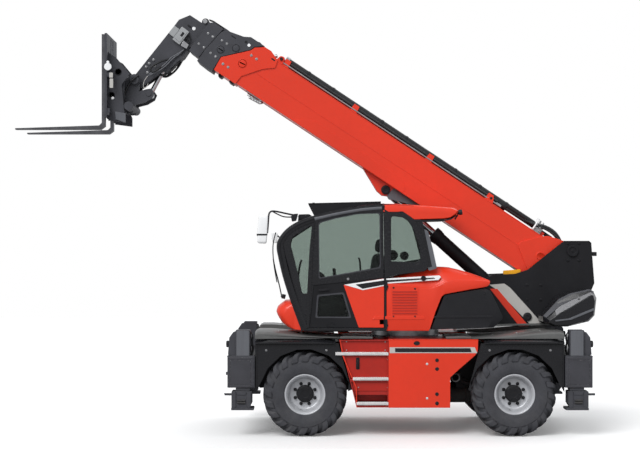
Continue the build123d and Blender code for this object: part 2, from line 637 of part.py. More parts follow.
for z in (1452, 1955):
    leaf = bar((HINGE_X, HINGE_Y, z), (HINGE_X, HINGE_Y, z + 60), HINGE_R)
    door_leaves.append(leaf + block(HINGE_X, HINGE_X + 60, BODY_OUT, HINGE_Y, z, z + 60))
    shell += bar((HINGE_X, HINGE_Y, z - 30), (HINGE_X, HINGE_Y, z), HINGE_R)
    shell += block(HINGE_X - 50, HINGE_X, BODY_OUT, HINGE_Y, z - 30, z)
keep("cab_frame", shell)

within = curved_side(inset(CAB_SIDE, GLASS), CAB_CURVE, BODY_IN + GLASS, BODY_OUT - GLASS)
skin = cab - (within & flat(inset(CAB_PLAN, GLASS), 0, 3200))
doorway = side(DOOR_HOLE, BODY_OUT - CAB_WALL - 5, BODY_OUT + 5)
keep("cab_glass", (skin & holes) - doorway)

door = side(inset(DOOR_HOLE, GAP), BODY_OUT - DOOR_T, BODY_OUT)
UPPER_PANE = [(1186, 2772), (971, 2832), (667, 2888), (380, 2900), (375, 2180), (1180, 2040)]
LOWER_PANE = [(1189, 1823), (860, 1855), (766, 1541), (1210, 1541)]
panes = [side(pane, BODY_OUT - DOOR_T - 1, BODY_OUT + 1) for pane in (UPPER_PANE, LOWER_PANE)]
door -= joined(panes)
keep("door", door + joined(door_leaves))
keep("door_glass", joined([side(pane, BODY_OUT - 20, BODY_OUT - 20 + GLASS) for pane in (UPPER_PANE,
                                                                                         LOWER_PANE)]))

NOSE = [(1380, 1378), (1572, 1384), (1676, 1477), (1734, 1604), (1659, 1700), (1596, 1765), (1500, 1754)]
nose = side(NOSE, BODY_IN + 20, BODY_OUT - 20, 30) & flat([
    (1300, BODY_IN), (1740, BODY_IN + 60), (1740, BODY_OUT - 190), (1560, BODY_OUT - 30), (1300, BODY_OUT),
], 1300, 1800, 50)
ROOF = [(354, 3016), (-604, 2961), (-655, 2891), (-545, 2823), (-100, 2814), (100, 2900)]
roof = side(ROOF, BODY_IN, BODY_OUT, 20) & flat([
    (400, BODY_IN), (400, BODY_OUT), (-380, BODY_OUT), (-700, BODY_OUT - 130), (-700, BODY_IN + 60),
    (-380, BODY_IN),
], 2700, 3100, 40)
solid_cab = curved_side(CAB_SIDE, CAB_CURVE, BODY_IN, BODY_OUT)
keep("red_panels", left_body + (nose - solid_cab) + (roof - solid_cab))

SLATS = 7
slat_pitch = (BODY_OUT - BODY_IN - 260) / (SLATS - 1)
slats = []
for n in range(SLATS):
    y = BODY_IN + 130 + n * slat_pitch
    slats.append(side([(1316, 3020), (1298, 3004), (370, 3028), (370, 3044)], y, y + 40))
guard_cheek = side([(1316, 3018), (1236, 2860), (1160, 2860), (860, 2930), (860, 3018)],
                   BODY_IN + 96, BODY_IN + 108)
slats.append(guard_cheek)
slats.append(Location((0, BODY_OUT - BODY_IN - 204, 0)) * guard_cheek)
for x in (370, 870, 1230):
    slats.append(block(x, x + 30, BODY_IN + 96, BODY_OUT - 96, 3006, 3028))
slats.append(block(370, 400, BODY_IN + 130, BODY_OUT - 130, 2980, 3028))
lifted_cab = Location((0, 0, SEAT)) * solid_cab
keep("roof_guard", joined(slats) - lifted_cab)

WORK_LAMP = [(1441, 2880), (1302, 2883), (1243, 2841), (1243, 2780), (1441, 2700)]
LAMP_W = 110.0
NOSE_LAMP = (1608, BODY_OUT - 72.7, 1560)       # centre of the lamp on the nose's slanted corner
slant = (0.664, 0.747)
lamps = [side(WORK_LAMP, y, y + LAMP_W) - lifted_cab for y in (BODY_IN + 60, BODY_OUT - 150 - LAMP_W)]
lamps.append(bar(
    (NOSE_LAMP[0] + slant[0] * SEAT, NOSE_LAMP[1] + slant[1] * SEAT, NOSE_LAMP[2]),
    (NOSE_LAMP[0] + slant[0] * 16, NOSE_LAMP[1] + slant[1] * 16, NOSE_LAMP[2]), 45,
))
keep("lamps", joined(lamps))

SEAT_Y = (BODY_IN + BODY_OUT) / 2
interior = block(420, 900, SEAT_Y - 245, SEAT_Y + 245, 1780, 1900)
interior += side([(420, 1880), (540, 1880), (420, 2560), (320, 2560)], SEAT_Y - 225, SEAT_Y + 225)
interior += block(520, 820, SEAT_Y - 160, SEAT_Y + 160, FLOOR_Z + CAB_WALL, 1780)
interior += block(1180, 1240, SEAT_Y - 30, SEAT_Y + 30, FLOOR_Z + CAB_WALL, 2000)
wheel = Cylinder(190, 24) - Cylinder(160, 30) + Box(340, 30, 20)
interior += Location((1150, SEAT_Y, 2080), (0, -35, 0)) * wheel
interior += bar((1210, SEAT_Y, 1960), (1150, SEAT_Y, 2080), 22)
interior += block(600, 1000, BODY_IN + 78, SEAT_Y - 245, 1780, 1960)
interior += bar((960, BODY_IN + 113, 1960), (980, BODY_IN + 113, 2120), 16)
keep("cab_interior", interior)

MIRROR = [(1830, 2862), (1948, 2868), (1975, 2616), (1968, 2500), (1853, 2494), (1843, 2616)]
MIRROR_Y = BODY_OUT - 30
elbow = (1785, MIRROR_Y, 2913)
mirrors = side([(1440, 2885), (1500, 2880), (1545, 2850), (1520, 2660), (1440, 2700)], MIRROR_Y - 75,
               MIRROR_Y)
mirrors -= lifted_cab
mirrors += bar((1500, MIRROR_Y - 20, 2860), elbow, 14)
mirrors += bar(elbow, (1850, MIRROR_Y + 20, 2830), 12)
mirrors += side(MIRROR, MIRROR_Y, MIRROR_Y + 75, 10)
mirrors += block(1726, 1812, BODY_IN + 20, BODY_IN + 110, 2503, 2635)
mirrors += block(1640, 1730, BODY_IN + 60, BODY_IN + 80, 2560, 2590) - Location((SEAT, 0, 0)) * solid_cab
keep("mirror", mirrors)

# ---- boom ----

OUTER = [
    (-200, -420), (-120, BOOM_LOW), (BOOM_FRONT, BOOM_LOW), (BOOM_FRONT - 14, -435), (BOOM_FRONT - 312, -139),
    (BOOM_FRONT - 329, BOOM_TOP), (-80, BOOM_TOP), (-200, -140),
]
COLLAR = [
    (BOOM_FRONT - 4, BOOM_LOW - 15), (BOOM_FRONT + 10, -430), (BOOM_FRONT - 276, -132),
    (BOOM_FRONT - 300, -70),
    (BOOM_FRONT - 410, 12), (BOOM_FRONT - 513, 14), (BOOM_FRONT - 654, -42), (BOOM_FRONT - 680, -145),
    (BOOM_FRONT - 547, -255), (BOOM_FRONT - 359, -497), (BOOM_FRONT - 351, BOOM_LOW - 15),
]


def bore(s0, s1, half, top, low):
    return side([(s0, low), (s1, low), (s1, top), (s0, top)], -half, half)


def section(s0, s1, half, top, low):
    """Hollow boom section with slide pads round its rear end, which run in the section outside it."""
    wall, thick = SECTION_WALL, SLACK - SEAT
    tube = bore(s0, s1, half, top, low)
    tube += side([(s0, low - thick), (s0 + 140, low - thick), (s0 + 140, top + thick), (s0, top + thick)],
                 -half + 40, half - 40)
    tube += side([(s0, low + 60), (s0 + 140, low + 60), (s0 + 140, top - 60), (s0, top - 60)],
                 -half - thick, half + thick)
    return tube - bore(s0 - 5, s1 + 5, half - wall, top - wall, low + wall)


TUBE_S0, TUBE_S1 = 1058.0, BOOM_FRONT - 754
BEYOND = HEAD_S + 400   # past the front of every section
pipes = bar((TUBE_S0, 30, 22), (TUBE_S1, 30, 22), 62)
pipes += bar((300, 60, 5), (TUBE_S0, 60, 5), 26)
pipes += bar((TUBE_S0 + 140, 130, 10), (TUBE_S1 + 60, 130, 10), 16)

outer = side(OUTER, -BOOM_HALF, BOOM_HALF)
outer -= bore(150, BEYOND, BOOM_HALF - BOOM_WALL, BOOM_TOP - BOOM_WALL, BOOM_LOW + BOOM_WALL)
outer += across(0, 0, PIVOT_R, -PLATE_IN + SEAT, PLATE_IN - SEAT)
EAR = [
    (EYE_S + 433, BOOM_LOW), (EYE_S + 89, EYE_H - 78), (EYE_S, EYE_H - 90), (EYE_S - 89, EYE_H - 48),
    (EYE_S - 171, BOOM_LOW),
]
outer += both(side(EAR, 68, 100))
outer += side(COLLAR, -BOOM_HALF - COLLAR_T, BOOM_HALF + COLLAR_T) - bore(EYE_S, BEYOND, BOOM_HALF,
                                                                          BOOM_TOP, BOOM_LOW)
root = side([(-150, -180), (560, -215), (650, -330), (330, -560), (-110, -560)], -BOOM_HALF - 8,
            BOOM_HALF + 8)
outer += root - bore(-1000, 1000, BOOM_HALF - 5, BOOM_TOP, BOOM_LOW)
for s in (TUBE_S1 - 20, 3508, 2288, 1317):
    outer += side([(s - 50, BOOM_TOP), (s + 50, BOOM_TOP), (s + 40, 50), (s - 40, 50)], -60, 155) - pipes
outer += block(420, 480, 20, 100, BOOM_TOP, 10) - pipes
keep("boom_outer", outer, BOOM)
keep("boom_hoses", pipes, BOOM)

SECTIONS = [
    # name, rear end, front end, collar outline
    ("boom_section_2", 300, BOOM_FRONT + 191, [
        (BOOM_FRONT + 254, -648), (BOOM_FRONT + 118, -659), (BOOM_FRONT + 6, -659), (BOOM_FRONT + 18, -428),
        (BOOM_FRONT - 268, -126), (BOOM_FRONT - 292, -64), (BOOM_FRONT - 399, 20), (BOOM_FRONT - 180, 20),
        (BOOM_FRONT - 96, -29), (BOOM_FRONT + 99, -76), (BOOM_FRONT + 162, -102), (BOOM_FRONT + 196, -160),
        (BOOM_FRONT + 246, -473), (BOOM_FRONT + 246, -552),
    ]),
    ("boom_section_3", 400, BOOM_FRONT + 356, [
        (BOOM_FRONT + 427, -590), (BOOM_FRONT + 317, -600), (BOOM_FRONT + 262, -600),
        (BOOM_FRONT + 254, -473),
        (BOOM_FRONT + 204, -150), (BOOM_FRONT + 194, -90), (BOOM_FRONT + 353, -90), (BOOM_FRONT + 406, -130),
        (BOOM_FRONT + 406, -245),
    ]),
]
half, top, low = BOOM_HALF - BOOM_WALL, BOOM_TOP - BOOM_WALL, BOOM_LOW + BOOM_WALL
for name, s0, s1, collar_side in SECTIONS:
    half, top, low = half - SLACK, top - SLACK, low + SLACK
    ring = side(collar_side, -half - 44, half + 44) - bore(EYE_S, BEYOND, half, top, low)
    keep(name, section(s0, s1, half, top, low) + ring, BOOM)
    half, top, low = half - SECTION_WALL, top - SECTION_WALL, low + SECTION_WALL
half, top, low = half - SLACK, top - SLACK, low + SLACK
keep("boom_section_4", section(500, HEAD_S, half, top, low), BOOM)

# ---- head ----

hinge_x, hinge_z = boom_point(HINGE_S, HINGE_H)
tilt_foot = boom_point(TILT_S, TILT_H)
lever_pin = (hinge_x - LEVER_BACK, hinge_z - LEVER_DROP)
EAR_IN = HEAD_HALF + 10
HEAD = [
    (HEAD_S, low), (HEAD_S, top), (HEAD_S + 56, -180), (HEAD_S + 241, -180), (HEAD_S + 332, -315),
    (HEAD_S + 339, -424), (HINGE_S + 40, HINGE_H + 60), (HINGE_S + 10, HINGE_H - 50),
    (HINGE_S - 119, HINGE_H - 28),
    (HEAD_S + 121, -1020), (HEAD_S + 56, -1008), (HEAD_S + 66, -928), (HEAD_S, -700),
]
head = side(HEAD, -HEAD_HALF, HEAD_HALF)
head += across(HINGE_S, HINGE_H, 75, -HEAD_HALF, HEAD_HALF)
head -= side([
    (HEAD_S + 20, -1100), (HEAD_S + 20, -330), (HEAD_S + 280, -330), (HEAD_S + 335, -1200),
    (HEAD_S + 240, -1420),
    (HEAD_S - 140, -1420),
], -90, 90)
head += across(HINGE_S, HINGE_H, HINGE_PIN_R, -EAR_IN - EAR_T - 12, EAR_IN + EAR_T + 12)
head += across(TILT_S, TILT_H, TILT_PIN_R, -90, 90)
keep("boom_head", head, BOOM)

# ---- lift cylinder ----

foot, eye = (FOOT_PIN_X, FOOT_PIN_Z), boom_point(EYE_S, EYE_H)
lift_length = math.hypot(eye[0] - foot[0], eye[1] - foot[1])
barrel = bar(along(foot, eye, 60), along(foot, eye, LIFT_BARREL_L), LIFT_BARREL_R)
barrel += bar(along(foot, eye, LIFT_BARREL_L - 40), along(foot, eye, LIFT_BARREL_L + 40), LIFT_BARREL_R + 12)
barrel += across(*foot, 85, -60, 60)
barrel -= bar(along(foot, eye, 120), along(foot, eye, LIFT_BARREL_L + 60), LIFT_ROD_R + 0.1)
keep("lift_barrel", barrel)
rod = bar(along(foot, eye, 760), along(foot, eye, lift_length - 40), LIFT_ROD_R)
rod += across(*eye, 75, -60, 60)
rod += across(*eye, 40, -68 + SEAT, 68 - SEAT)
keep("lift_rod", rod)

# ---- tilt cylinder ----

tilt_length = math.hypot(lever_pin[0] - tilt_foot[0], lever_pin[1] - tilt_foot[1])
barrel = bar(along(tilt_foot, lever_pin, 40), along(tilt_foot, lever_pin, TILT_BARREL_L), TILT_BARREL_R)
barrel += across(*tilt_foot, 55, -50, 50)
barrel -= bar(along(tilt_foot, lever_pin, 80), along(tilt_foot, lever_pin, TILT_BARREL_L + 60),
              TILT_ROD_R + 0.1)
barrel -= across(*tilt_foot, TILT_PIN_R + FIT, -60, 60)
keep("tilt_barrel", barrel)
rod = bar(along(tilt_foot, lever_pin, 340), along(tilt_foot, lever_pin, tilt_length - 30), TILT_ROD_R)
rod += across(*lever_pin, 55, -45, 45)
keep("tilt_rod", rod)

# ---- carriage, drawn from its hinge ----

LEVER = [
    (-238, -244), (-138, -304), (-18, -334), (22, -444), (82, -452), (122, -414), (122, -14),
    (62, 66), (-38, 76),
    (-83, -14), (-58, -154), (-158, -124), (-228, -114), (-268, -174),
]
coupler = both(side(shifted(LEVER, hinge_x, hinge_z), EAR_IN, EAR_IN + EAR_T))
coupler -= across(hinge_x, hinge_z, HINGE_PIN_R + FIT, -300, 300)
coupler += across(hinge_x + 51, hinge_z - 372, 60, -430, 430)
coupler += block(hinge_x + 122, hinge_x + 172, -330, 330, hinge_z - 444, hinge_z + 86)
keep("carriage_coupler", coupler)

plate_x = hinge_x + CARRIAGE_X
CHEEK = [(0, 365), (-55, 308), (-160, 216), (-160, -330), (-232, -457), (-232, -592), (-20, -564), (0, -564)]
carriage = block(plate_x, plate_x + CARRIAGE_T, -CARRIAGE_HALF, CARRIAGE_HALF, hinge_z - 525,
                 hinge_z + CARRIAGE_TOP)
carriage -= both(block(plate_x - 5, plate_x + 40, 60, 140, hinge_z + 330, hinge_z + 560))
carriage += both(side(shifted(CHEEK, plate_x, hinge_z), 330, 365))
keep("fork_carriage", carriage)

back_x = plate_x + CARRIAGE_T
fork_low = hinge_z - FORK_DROP
fork = side([
    (back_x, hinge_z + CARRIAGE_TOP - 12), (back_x + FORK_T, hinge_z + CARRIAGE_TOP - 12),
    (back_x + FORK_T, fork_low + 90),
    (back_x + FORK_T + 35, fork_low + 55), (back_x + FORK_LENGTH, fork_low + 18),
    (back_x + FORK_LENGTH, fork_low),
    (back_x + 60, fork_low), (back_x, fork_low + 45),
], FORK_Y - FORK_W / 2, FORK_Y + FORK_W / 2)
keep("forks", both(fork))
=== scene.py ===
import math

import bmesh
import bpy
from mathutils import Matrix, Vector


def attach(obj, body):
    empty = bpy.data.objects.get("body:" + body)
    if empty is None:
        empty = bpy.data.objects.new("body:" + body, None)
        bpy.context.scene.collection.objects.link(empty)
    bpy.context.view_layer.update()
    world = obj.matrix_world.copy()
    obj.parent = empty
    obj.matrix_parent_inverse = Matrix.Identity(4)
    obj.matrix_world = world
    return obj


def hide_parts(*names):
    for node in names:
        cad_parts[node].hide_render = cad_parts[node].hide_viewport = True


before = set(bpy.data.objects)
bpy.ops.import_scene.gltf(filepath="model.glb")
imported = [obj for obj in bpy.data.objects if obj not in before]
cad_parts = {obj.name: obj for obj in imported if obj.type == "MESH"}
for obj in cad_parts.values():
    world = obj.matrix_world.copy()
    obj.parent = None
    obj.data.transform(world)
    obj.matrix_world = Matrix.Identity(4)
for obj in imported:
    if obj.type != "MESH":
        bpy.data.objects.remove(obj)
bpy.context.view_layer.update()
scene = bpy.context.scene
scene.view_settings.view_transform = "Standard"

# Places are in millimetres as in the part's source: x ahead of the slew axis, y to the machine's left and z
# above the ground. at() turns them into the frame's metres.
SLEW_X = -1363.0
BOOM_ANGLE = math.radians(33.5)
PIVOT = (-2242.0, 2397.0)
WHEELS = [("front_left", 1, 1), ("front_right", 1, -1), ("rear_left", -1, 1), ("rear_right", -1, -1)]


def at(x, y, z):
    return Vector(((x + SLEW_X) / 1000, y / 1000, z / 1000))


def on_boom(s, y, h):
    """A point of the boom's axes: s along it from the pivot, h square to it."""
    return at(PIVOT[0] + s * math.cos(BOOM_ANGLE) - h * math.sin(BOOM_ANGLE), y,
              PIVOT[1] + s * math.sin(BOOM_ANGLE) + h * math.cos(BOOM_ANGLE))


# ---------------------------------------------------------------- camera, light, floor

camera = bpy.data.objects.new("camera", bpy.data.cameras.new("camera"))
scene.collection.objects.link(camera)
scene.camera = camera
camera.location = (-0.202, 21.0, 2.49)
camera.rotation_euler = (math.pi / 2, 0, math.pi)
camera.data.lens = 86.29
camera.data.sensor_width = 36
camera.data.shift_y = 0.0305
camera.data.clip_end = 200

LIT = Vector((-1.0, 0.0, 2.0))         # the point that the lamps face
for name, place, energy, spread in (("key", (6.0, 12.0, 14.0), 1.95, 35),
                                    ("fill", (-9.0, -8.0, 10.0), 0.7, 60)):
    data = bpy.data.lights.new(name, "SUN")
    data.energy = energy
    data.angle = math.radians(spread)
    sun = bpy.data.objects.new(name, data)
    sun.location = place
    sun.rotation_euler = (Vector(place) - LIT).to_track_quat("Z", "Y").to_euler()
    scene.collection.objects.link(sun)

world = bpy.data.worlds.new("studio")
scene.world = world
world.use_nodes = True
tree = world.node_tree
tree.nodes.clear()
paths = tree.nodes.new("ShaderNodeLightPath")
seen = tree.nodes.new("ShaderNodeMath")
seen.operation = "MAXIMUM"
tree.links.new(paths.outputs["Is Camera Ray"], seen.inputs[0])
tree.links.new(paths.outputs["Is Transmission Ray"], seen.inputs[1])
plain = tree.nodes.new("ShaderNodeBackground")
plain.inputs["Color"].default_value = (1, 1, 1, 1)
soft = tree.nodes.new("ShaderNodeBackground")
soft.inputs["Color"].default_value = (0.96, 0.98, 1.0, 1)
soft.inputs["Strength"].default_value = 0.62
mix = tree.nodes.new("ShaderNodeMixShader")
tree.links.new(seen.outputs[0], mix.inputs[0])
tree.links.new(soft.outputs[0], mix.inputs[1])
tree.links.new(plain.outputs[0], mix.inputs[2])
tree.links.new(mix.outputs[0], tree.nodes.new("ShaderNodeOutputWorld").inputs[0])


# ---------------------------------------------------------------- materials

class Graph:
    """A material's node tree with one Principled shader."""

    def __init__(self, name):
        self.material = bpy.data.materials.new(name)
        self.material.use_nodes = True
        self.tree = self.material.node_tree
        self.shader = self.tree.nodes["Principled BSDF"]
        self.place = self.add("ShaderNodeTexCoord").outputs["Object"]

    def add(self, kind, **values):
        node = self.tree.nodes.new(kind)
        for key, value in values.items():
            if key in node.inputs:
                node.inputs[key].default_value = value
            else:
                setattr(node, key, value)
        return node

    def link(self, output, target):
        self.tree.links.new(output, target)

    def noise(self, scale, detail=4.0, rough=0.55, stretch=None):
        node = self.add("ShaderNodeTexNoise", Scale=scale, Detail=detail, Roughness=rough)
        if stretch:
            mapping = self.add("ShaderNodeMapping", Scale=stretch)
            self.link(self.place, mapping.inputs["Vector"])
            self.link(mapping.outputs[0], node.inputs["Vector"])
        else:
            self.link(self.place, node.inputs["Vector"])
        return node.outputs["Fac"]

    def ramp(self, value, low, high, out_low=0.0, out_high=1.0):
        node = self.add("ShaderNodeMapRange")
        for n, number in enumerate((low, high, out_low, out_high)):
            node.inputs[n + 1].default_value = number
        self.link(value, node.inputs[0])
        return node.outputs[0]

    def math(self, operation, a, b):
        node = self.add("ShaderNodeMath", operation=operation)
        for n, value in enumerate((a, b)):
            if isinstance(value, (int, float)):
                node.inputs[n].default_value = value
            else:
                self.link(value, node.inputs[n])
        return node.outputs[0]

    def mixed(self, share, a, b):
        node = self.add("ShaderNodeMix", data_type="RGBA")
        self.link(share, node.inputs["Factor"])
        for n, value in ((6, a), (7, b)):
            if isinstance(value, tuple):
                node.inputs[n].default_value = (*value, 1)
            else:
                self.link(value, node.inputs[n])
        return node.outputs[2]


def scaled(colour, amount):
    return tuple(min(1.0, c * amount) for c in colour)


def surface(name, colour, rough=0.4, metal=0.0, level=0.5, coat=0.0, vary=0.12, patch=2.5, grain=0.0,
            grain_scale=300.0, dust=0.0, dust_colour=(0.22, 0.2, 0.17), worn=None, edge=0.003,
            rough_vary=0.12, stretch=None):
    """Paint, metal or plastic: uneven colour and gloss, settled dust, rubbed edges, fine grain."""
    g = Graph(name)
    broad = g.noise(patch, 5.0, 0.6, stretch)
    fine = g.noise(patch * 14, 6.0, 0.65, stretch)
    base = g.mixed(g.ramp(broad, 0.3, 0.7), scaled(colour, 1 - vary), scaled(colour, 1 + vary))
    base = g.mixed(g.ramp(fine, 0.45, 0.75, 0.0, 0.5), base, scaled(colour, 1 - 1.6 * vary))
    bevel = g.add("ShaderNodeBevel", samples=4, Radius=edge)
    if worn:
        true = g.add("ShaderNodeNewGeometry")
        dot = g.add("ShaderNodeVectorMath", operation="DOT_PRODUCT")
        g.link(bevel.outputs[0], dot.inputs[0])
        g.link(true.outputs["Normal"], dot.inputs[1])
        rubbed = g.ramp(dot.outputs["Value"], 0.97, 0.75)
        broken = g.ramp(g.noise(38.0, 6.0, 0.75), 0.5, 0.66)
        base = g.mixed(g.math("MULTIPLY", rubbed, broken), base, worn)
    if dust:
        facing = g.add("ShaderNodeSeparateXYZ")
        g.link(g.add("ShaderNodeNewGeometry").outputs["Normal"], facing.inputs[0])
        up = g.ramp(facing.outputs["Z"], -0.2, 0.9)
        spread = g.ramp(g.noise(7.0, 7.0, 0.7), 0.35, 0.75)
        low = g.add("ShaderNodeSeparateXYZ")
        g.link(g.place, low.inputs[0])
        near_ground = g.ramp(low.outputs["Z"], 1.3, 0.1, 0.25, 1.0)
        amount = g.math("MULTIPLY", g.math("ADD", g.math("MULTIPLY", up, 0.6), 0.25), spread)
        amount = g.math("MULTIPLY", g.math("MULTIPLY", amount, near_ground), dust)
        base = g.mixed(amount, base, dust_colour)
    g.link(base, g.shader.inputs["Base Color"])
    g.link(g.ramp(fine, 0.3, 0.7, max(0.02, rough - rough_vary / 2), rough + rough_vary / 2),
           g.shader.inputs["Roughness"])
    g.shader.inputs["Metallic"].default_value = metal
    g.shader.inputs["Specular IOR Level"].default_value = level
    g.shader.inputs["Coat Weight"].default_value = coat
    g.shader.inputs["Coat Roughness"].default_value = 0.06
    bump = g.add("ShaderNodeBump", Strength=1.0, Distance=grain or 0.00005)
    g.link(g.noise(grain_scale, 3.0, 0.6, stretch), bump.inputs["Height"])
    g.link(bevel.outputs[0], bump.inputs["Normal"])
    g.link(bump.outputs[0], g.shader.inputs["Normal"])
    return g.material


def glass(name, tint):
    """Thin tinted pane: light and shadow pass, and the surface mirrors the room at a slant."""
    g = Graph(name)
    smears = g.ramp(g.noise(5.0, 6.0, 0.7), 0.42, 0.8, 0.01, 0.12)
    g.link(smears, g.shader.inputs["Roughness"])
    g.shader.inputs["Base Color"].default_value = (*tint, 1)
    g.shader.inputs["Transmission Weight"].default_value = 1.0
    g.shader.inputs["IOR"].default_value = 1.25
    clear = g.add("ShaderNodeBsdfTransparent")
    clear.inputs["Color"].default_value = (*tint, 1)
    shadow = g.add("ShaderNodeLightPath")
    both = g.add("ShaderNodeMixShader")
    g.link(g.math("MAXIMUM", shadow.outputs["Is Shadow Ray"], shadow.outputs["Is Diffuse Ray"]),
        both.inputs[0])
    g.link(g.shader.outputs[0], both.inputs[1])
    g.link(clear.outputs[0], both.inputs[2])
    g.link(both.outputs[0], g.tree.nodes["Material Output"].inputs[0])
    return g.material


def glow(name, colour):
    """Lens of a lamp: ribbed clear plastic."""
    g = Graph(name)
    ribs = g.add("ShaderNodeTexWave", Scale=60.0)
    g.link(g.place, ribs.inputs["Vector"])
    bump = g.add("ShaderNodeBump", Strength=0.6, Distance=0.002)
    g.link(ribs.outputs["Fac"], bump.inputs["Height"])
    g.link(bump.outputs[0], g.shader.inputs["Normal"])
    g.link(g.mixed(g.ramp(ribs.outputs["Fac"], 0, 1), scaled(colour, 0.8), colour),
        g.shader.inputs["Base Color"])
    g.shader.inputs["Roughness"].default_value = 0.12
    g.shader.inputs["Coat Weight"].default_value = 0.6
    return g.material


RED = (0.8, 0.042, 0.014)
GREY_DUST = (0.2, 0.19, 0.17)
M = {
    "red": surface("red_enamel", RED, 0.34, level=0.3, coat=0.2, vary=0.05, patch=1.1, grain=0.00012,
        grain_scale=420, dust=0.05, worn=(0.4, 0.1, 0.07), edge=0.004),
    # darker red: the steps' own paint, and painted shade where it fills the louvre slots
    "deep_red_and_shade": surface("dark_red_and_painted_shade", (0.42, 0.018, 0.012), 0.42, level=0.35, vary=0.12, grain=0.0001,
        dust=0.15, worn=(0.25, 0.2, 0.19)),
    "black": surface("black_enamel", (0.015, 0.015, 0.0175), 0.46, level=0.16, vary=0.18, grain=0.00012,
        dust=0.1, dust_colour=GREY_DUST, worn=(0.09, 0.09, 0.1), edge=0.004),
    "gloss_black": surface("gloss_black_enamel", (0.0125, 0.0125, 0.015), 0.26, level=0.28, vary=0.15,
        coat=0.12, dust=0.03, dust_colour=GREY_DUST, edge=0.006),
    "grey": surface("anthracite_enamel", (0.055, 0.056, 0.066), 0.5, level=0.3, vary=0.16, patch=4.0,
        grain=0.0002, dust=0.2, dust_colour=GREY_DUST, worn=(0.3, 0.3, 0.31), edge=0.005),
    "column": surface("column_enamel", (0.125, 0.13, 0.145), 0.45, level=0.35, vary=0.1, patch=3.0,
        grain=0.00015, worn=(0.3, 0.3, 0.32), edge=0.004, stretch=(6, 6, 0.6)),
    "plastic": surface("moulded_black_plastic", (0.014, 0.014, 0.017), 0.48, level=0.25, vary=0.15,
        grain=0.0004, grain_scale=700, dust=0.12, dust_colour=GREY_DUST, edge=0.006),
    "casting": surface("painted_casting", (0.035, 0.035, 0.038), 0.62, level=0.3, vary=0.25, patch=6,
        grain=0.0012, grain_scale=140, dust=0.6, worn=(0.14, 0.12, 0.1)),
    "rubber": surface("tyre_rubber", (0.056, 0.057, 0.066), 0.75, level=0.25, vary=0.2, patch=5, grain=0.0006,
        grain_scale=260, dust=0.6, dust_colour=(0.13, 0.125, 0.115), edge=0.004),
    "hose": surface("hose_rubber", (0.018, 0.018, 0.02), 0.5, level=0.35, vary=0.2, patch=12, grain=0.0003,
        grain_scale=500, edge=0.001),
    "silver": surface("silver_enamel", (0.56, 0.57, 0.6), 0.36, metal=0.25, level=0.5, vary=0.08, patch=9,
        grain=0.0001, dust=0.4, dust_colour=(0.2, 0.19, 0.18), worn=(0.3, 0.3, 0.3)),
    "steel": surface("bare_steel", (0.42, 0.42, 0.43), 0.32, metal=0.9, vary=0.2, patch=12, grain=0.0001,
        grain_scale=200, rough_vary=0.2),
    "chrome": surface("hard_chrome", (0.62, 0.62, 0.64), 0.12, metal=1.0, vary=0.08, patch=20, grain=3e-05,
        rough_vary=0.08),
    "fork": surface("fork_steel", (0.09, 0.09, 0.098), 0.42, metal=0.4, vary=0.3, patch=9, grain=0.0003,
        grain_scale=160, worn=(0.45, 0.45, 0.46), edge=0.006),
    "pale": surface("pale_stripe", (0.53, 0.515, 0.49), 0.42, level=0.35, vary=0.05, patch=3),
    "orange": surface("orange_enamel", (0.9, 0.42, 0.012), 0.4, level=0.35, vary=0.06, patch=5),
    "facet": surface("satin_grey_plastic", (0.14, 0.14, 0.15), 0.36, level=0.5, vary=0.08, patch=3,
        grain=0.0003, edge=0.008),
    "deck": surface("deck_enamel", (0.12, 0.12, 0.118), 0.34, level=0.5, vary=0.2, patch=3.0, coat=0.2,
        grain=0.0002, dust=0.35, dust_colour=(0.2, 0.2, 0.19), edge=0.006),
    "step_red": surface("riser_enamel", (0.44, 0.018, 0.01), 0.38, level=0.35, vary=0.1, patch=1.6,
        grain=0.0001, dust=0.08, edge=0.004),
    "worn_grey": surface("worn_anthracite", (0.052, 0.052, 0.061), 0.5, level=0.3, vary=0.14, patch=4.0,
        grain=0.0002, dust=0.1, dust_colour=GREY_DUST, worn=(0.5, 0.5, 0.52), edge=0.012),
    "junction": surface("light_grey_box", (0.36, 0.37, 0.38), 0.45, level=0.4, vary=0.06, patch=6,
        edge=0.004),
    "white": surface("white_housing", (0.96, 0.965, 0.975), 0.28, level=0.4, vary=0.03, patch=3, coat=0.2,
        edge=0.012),
    "tread": surface("step_tread", (0.72, 0.71, 0.71), 0.45, metal=0.3, level=0.4, vary=0.16, patch=14,
        grain=0.0008, grain_scale=120, dust=0.4),
    "seat": surface("seat_cloth", (0.03, 0.032, 0.037), 0.85, level=0.2, vary=0.2, patch=30, grain=0.0008,
        grain_scale=900, edge=0.001),
    "trim": surface("cab_trim", (0.11, 0.115, 0.12), 0.7, level=0.25, vary=0.12, patch=8, grain=0.0005,
        grain_scale=600),
    "glass": glass("tinted_glass", (0.43, 0.485, 0.455)),
    "mirror": surface("mirror_face", (0.8, 0.82, 0.84), 0.05, metal=1.0, vary=0.02, patch=3, rough_vary=0.02),
    "lens": glow("clear_lens", (0.62, 0.63, 0.65)),
    "amber": glow("amber_lens", (0.8, 0.22, 0.02)),
    "red_lens": glow("red_lens", (0.5, 0.02, 0.015)),
}

# ---------------------------------------------------------------- making pieces

# The finish that the part's record gives a piece of each paint; a call names its slot where it has another.
SLOTS = {
    "red": "red_paint", "deep_red_and_shade": "red_paint", "step_red": "red_paint", "black": "black_paint",
    "gloss_black": "black_paint", "grey": "black_paint", "worn_grey": "black_paint", "deck": "black_paint",
    "column": "black_paint", "plastic": "black_plastic", "trim": "black_plastic", "rubber": "rubber",
    "hose": "rubber",
}


def mount(obj, body, material, slot):
    """Puts an object in the scene on its body, and works out its slot without storing it."""
    scene.collection.objects.link(obj)
    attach(obj, body)
    if slot == "usual":
        slot = SLOTS.get(material)


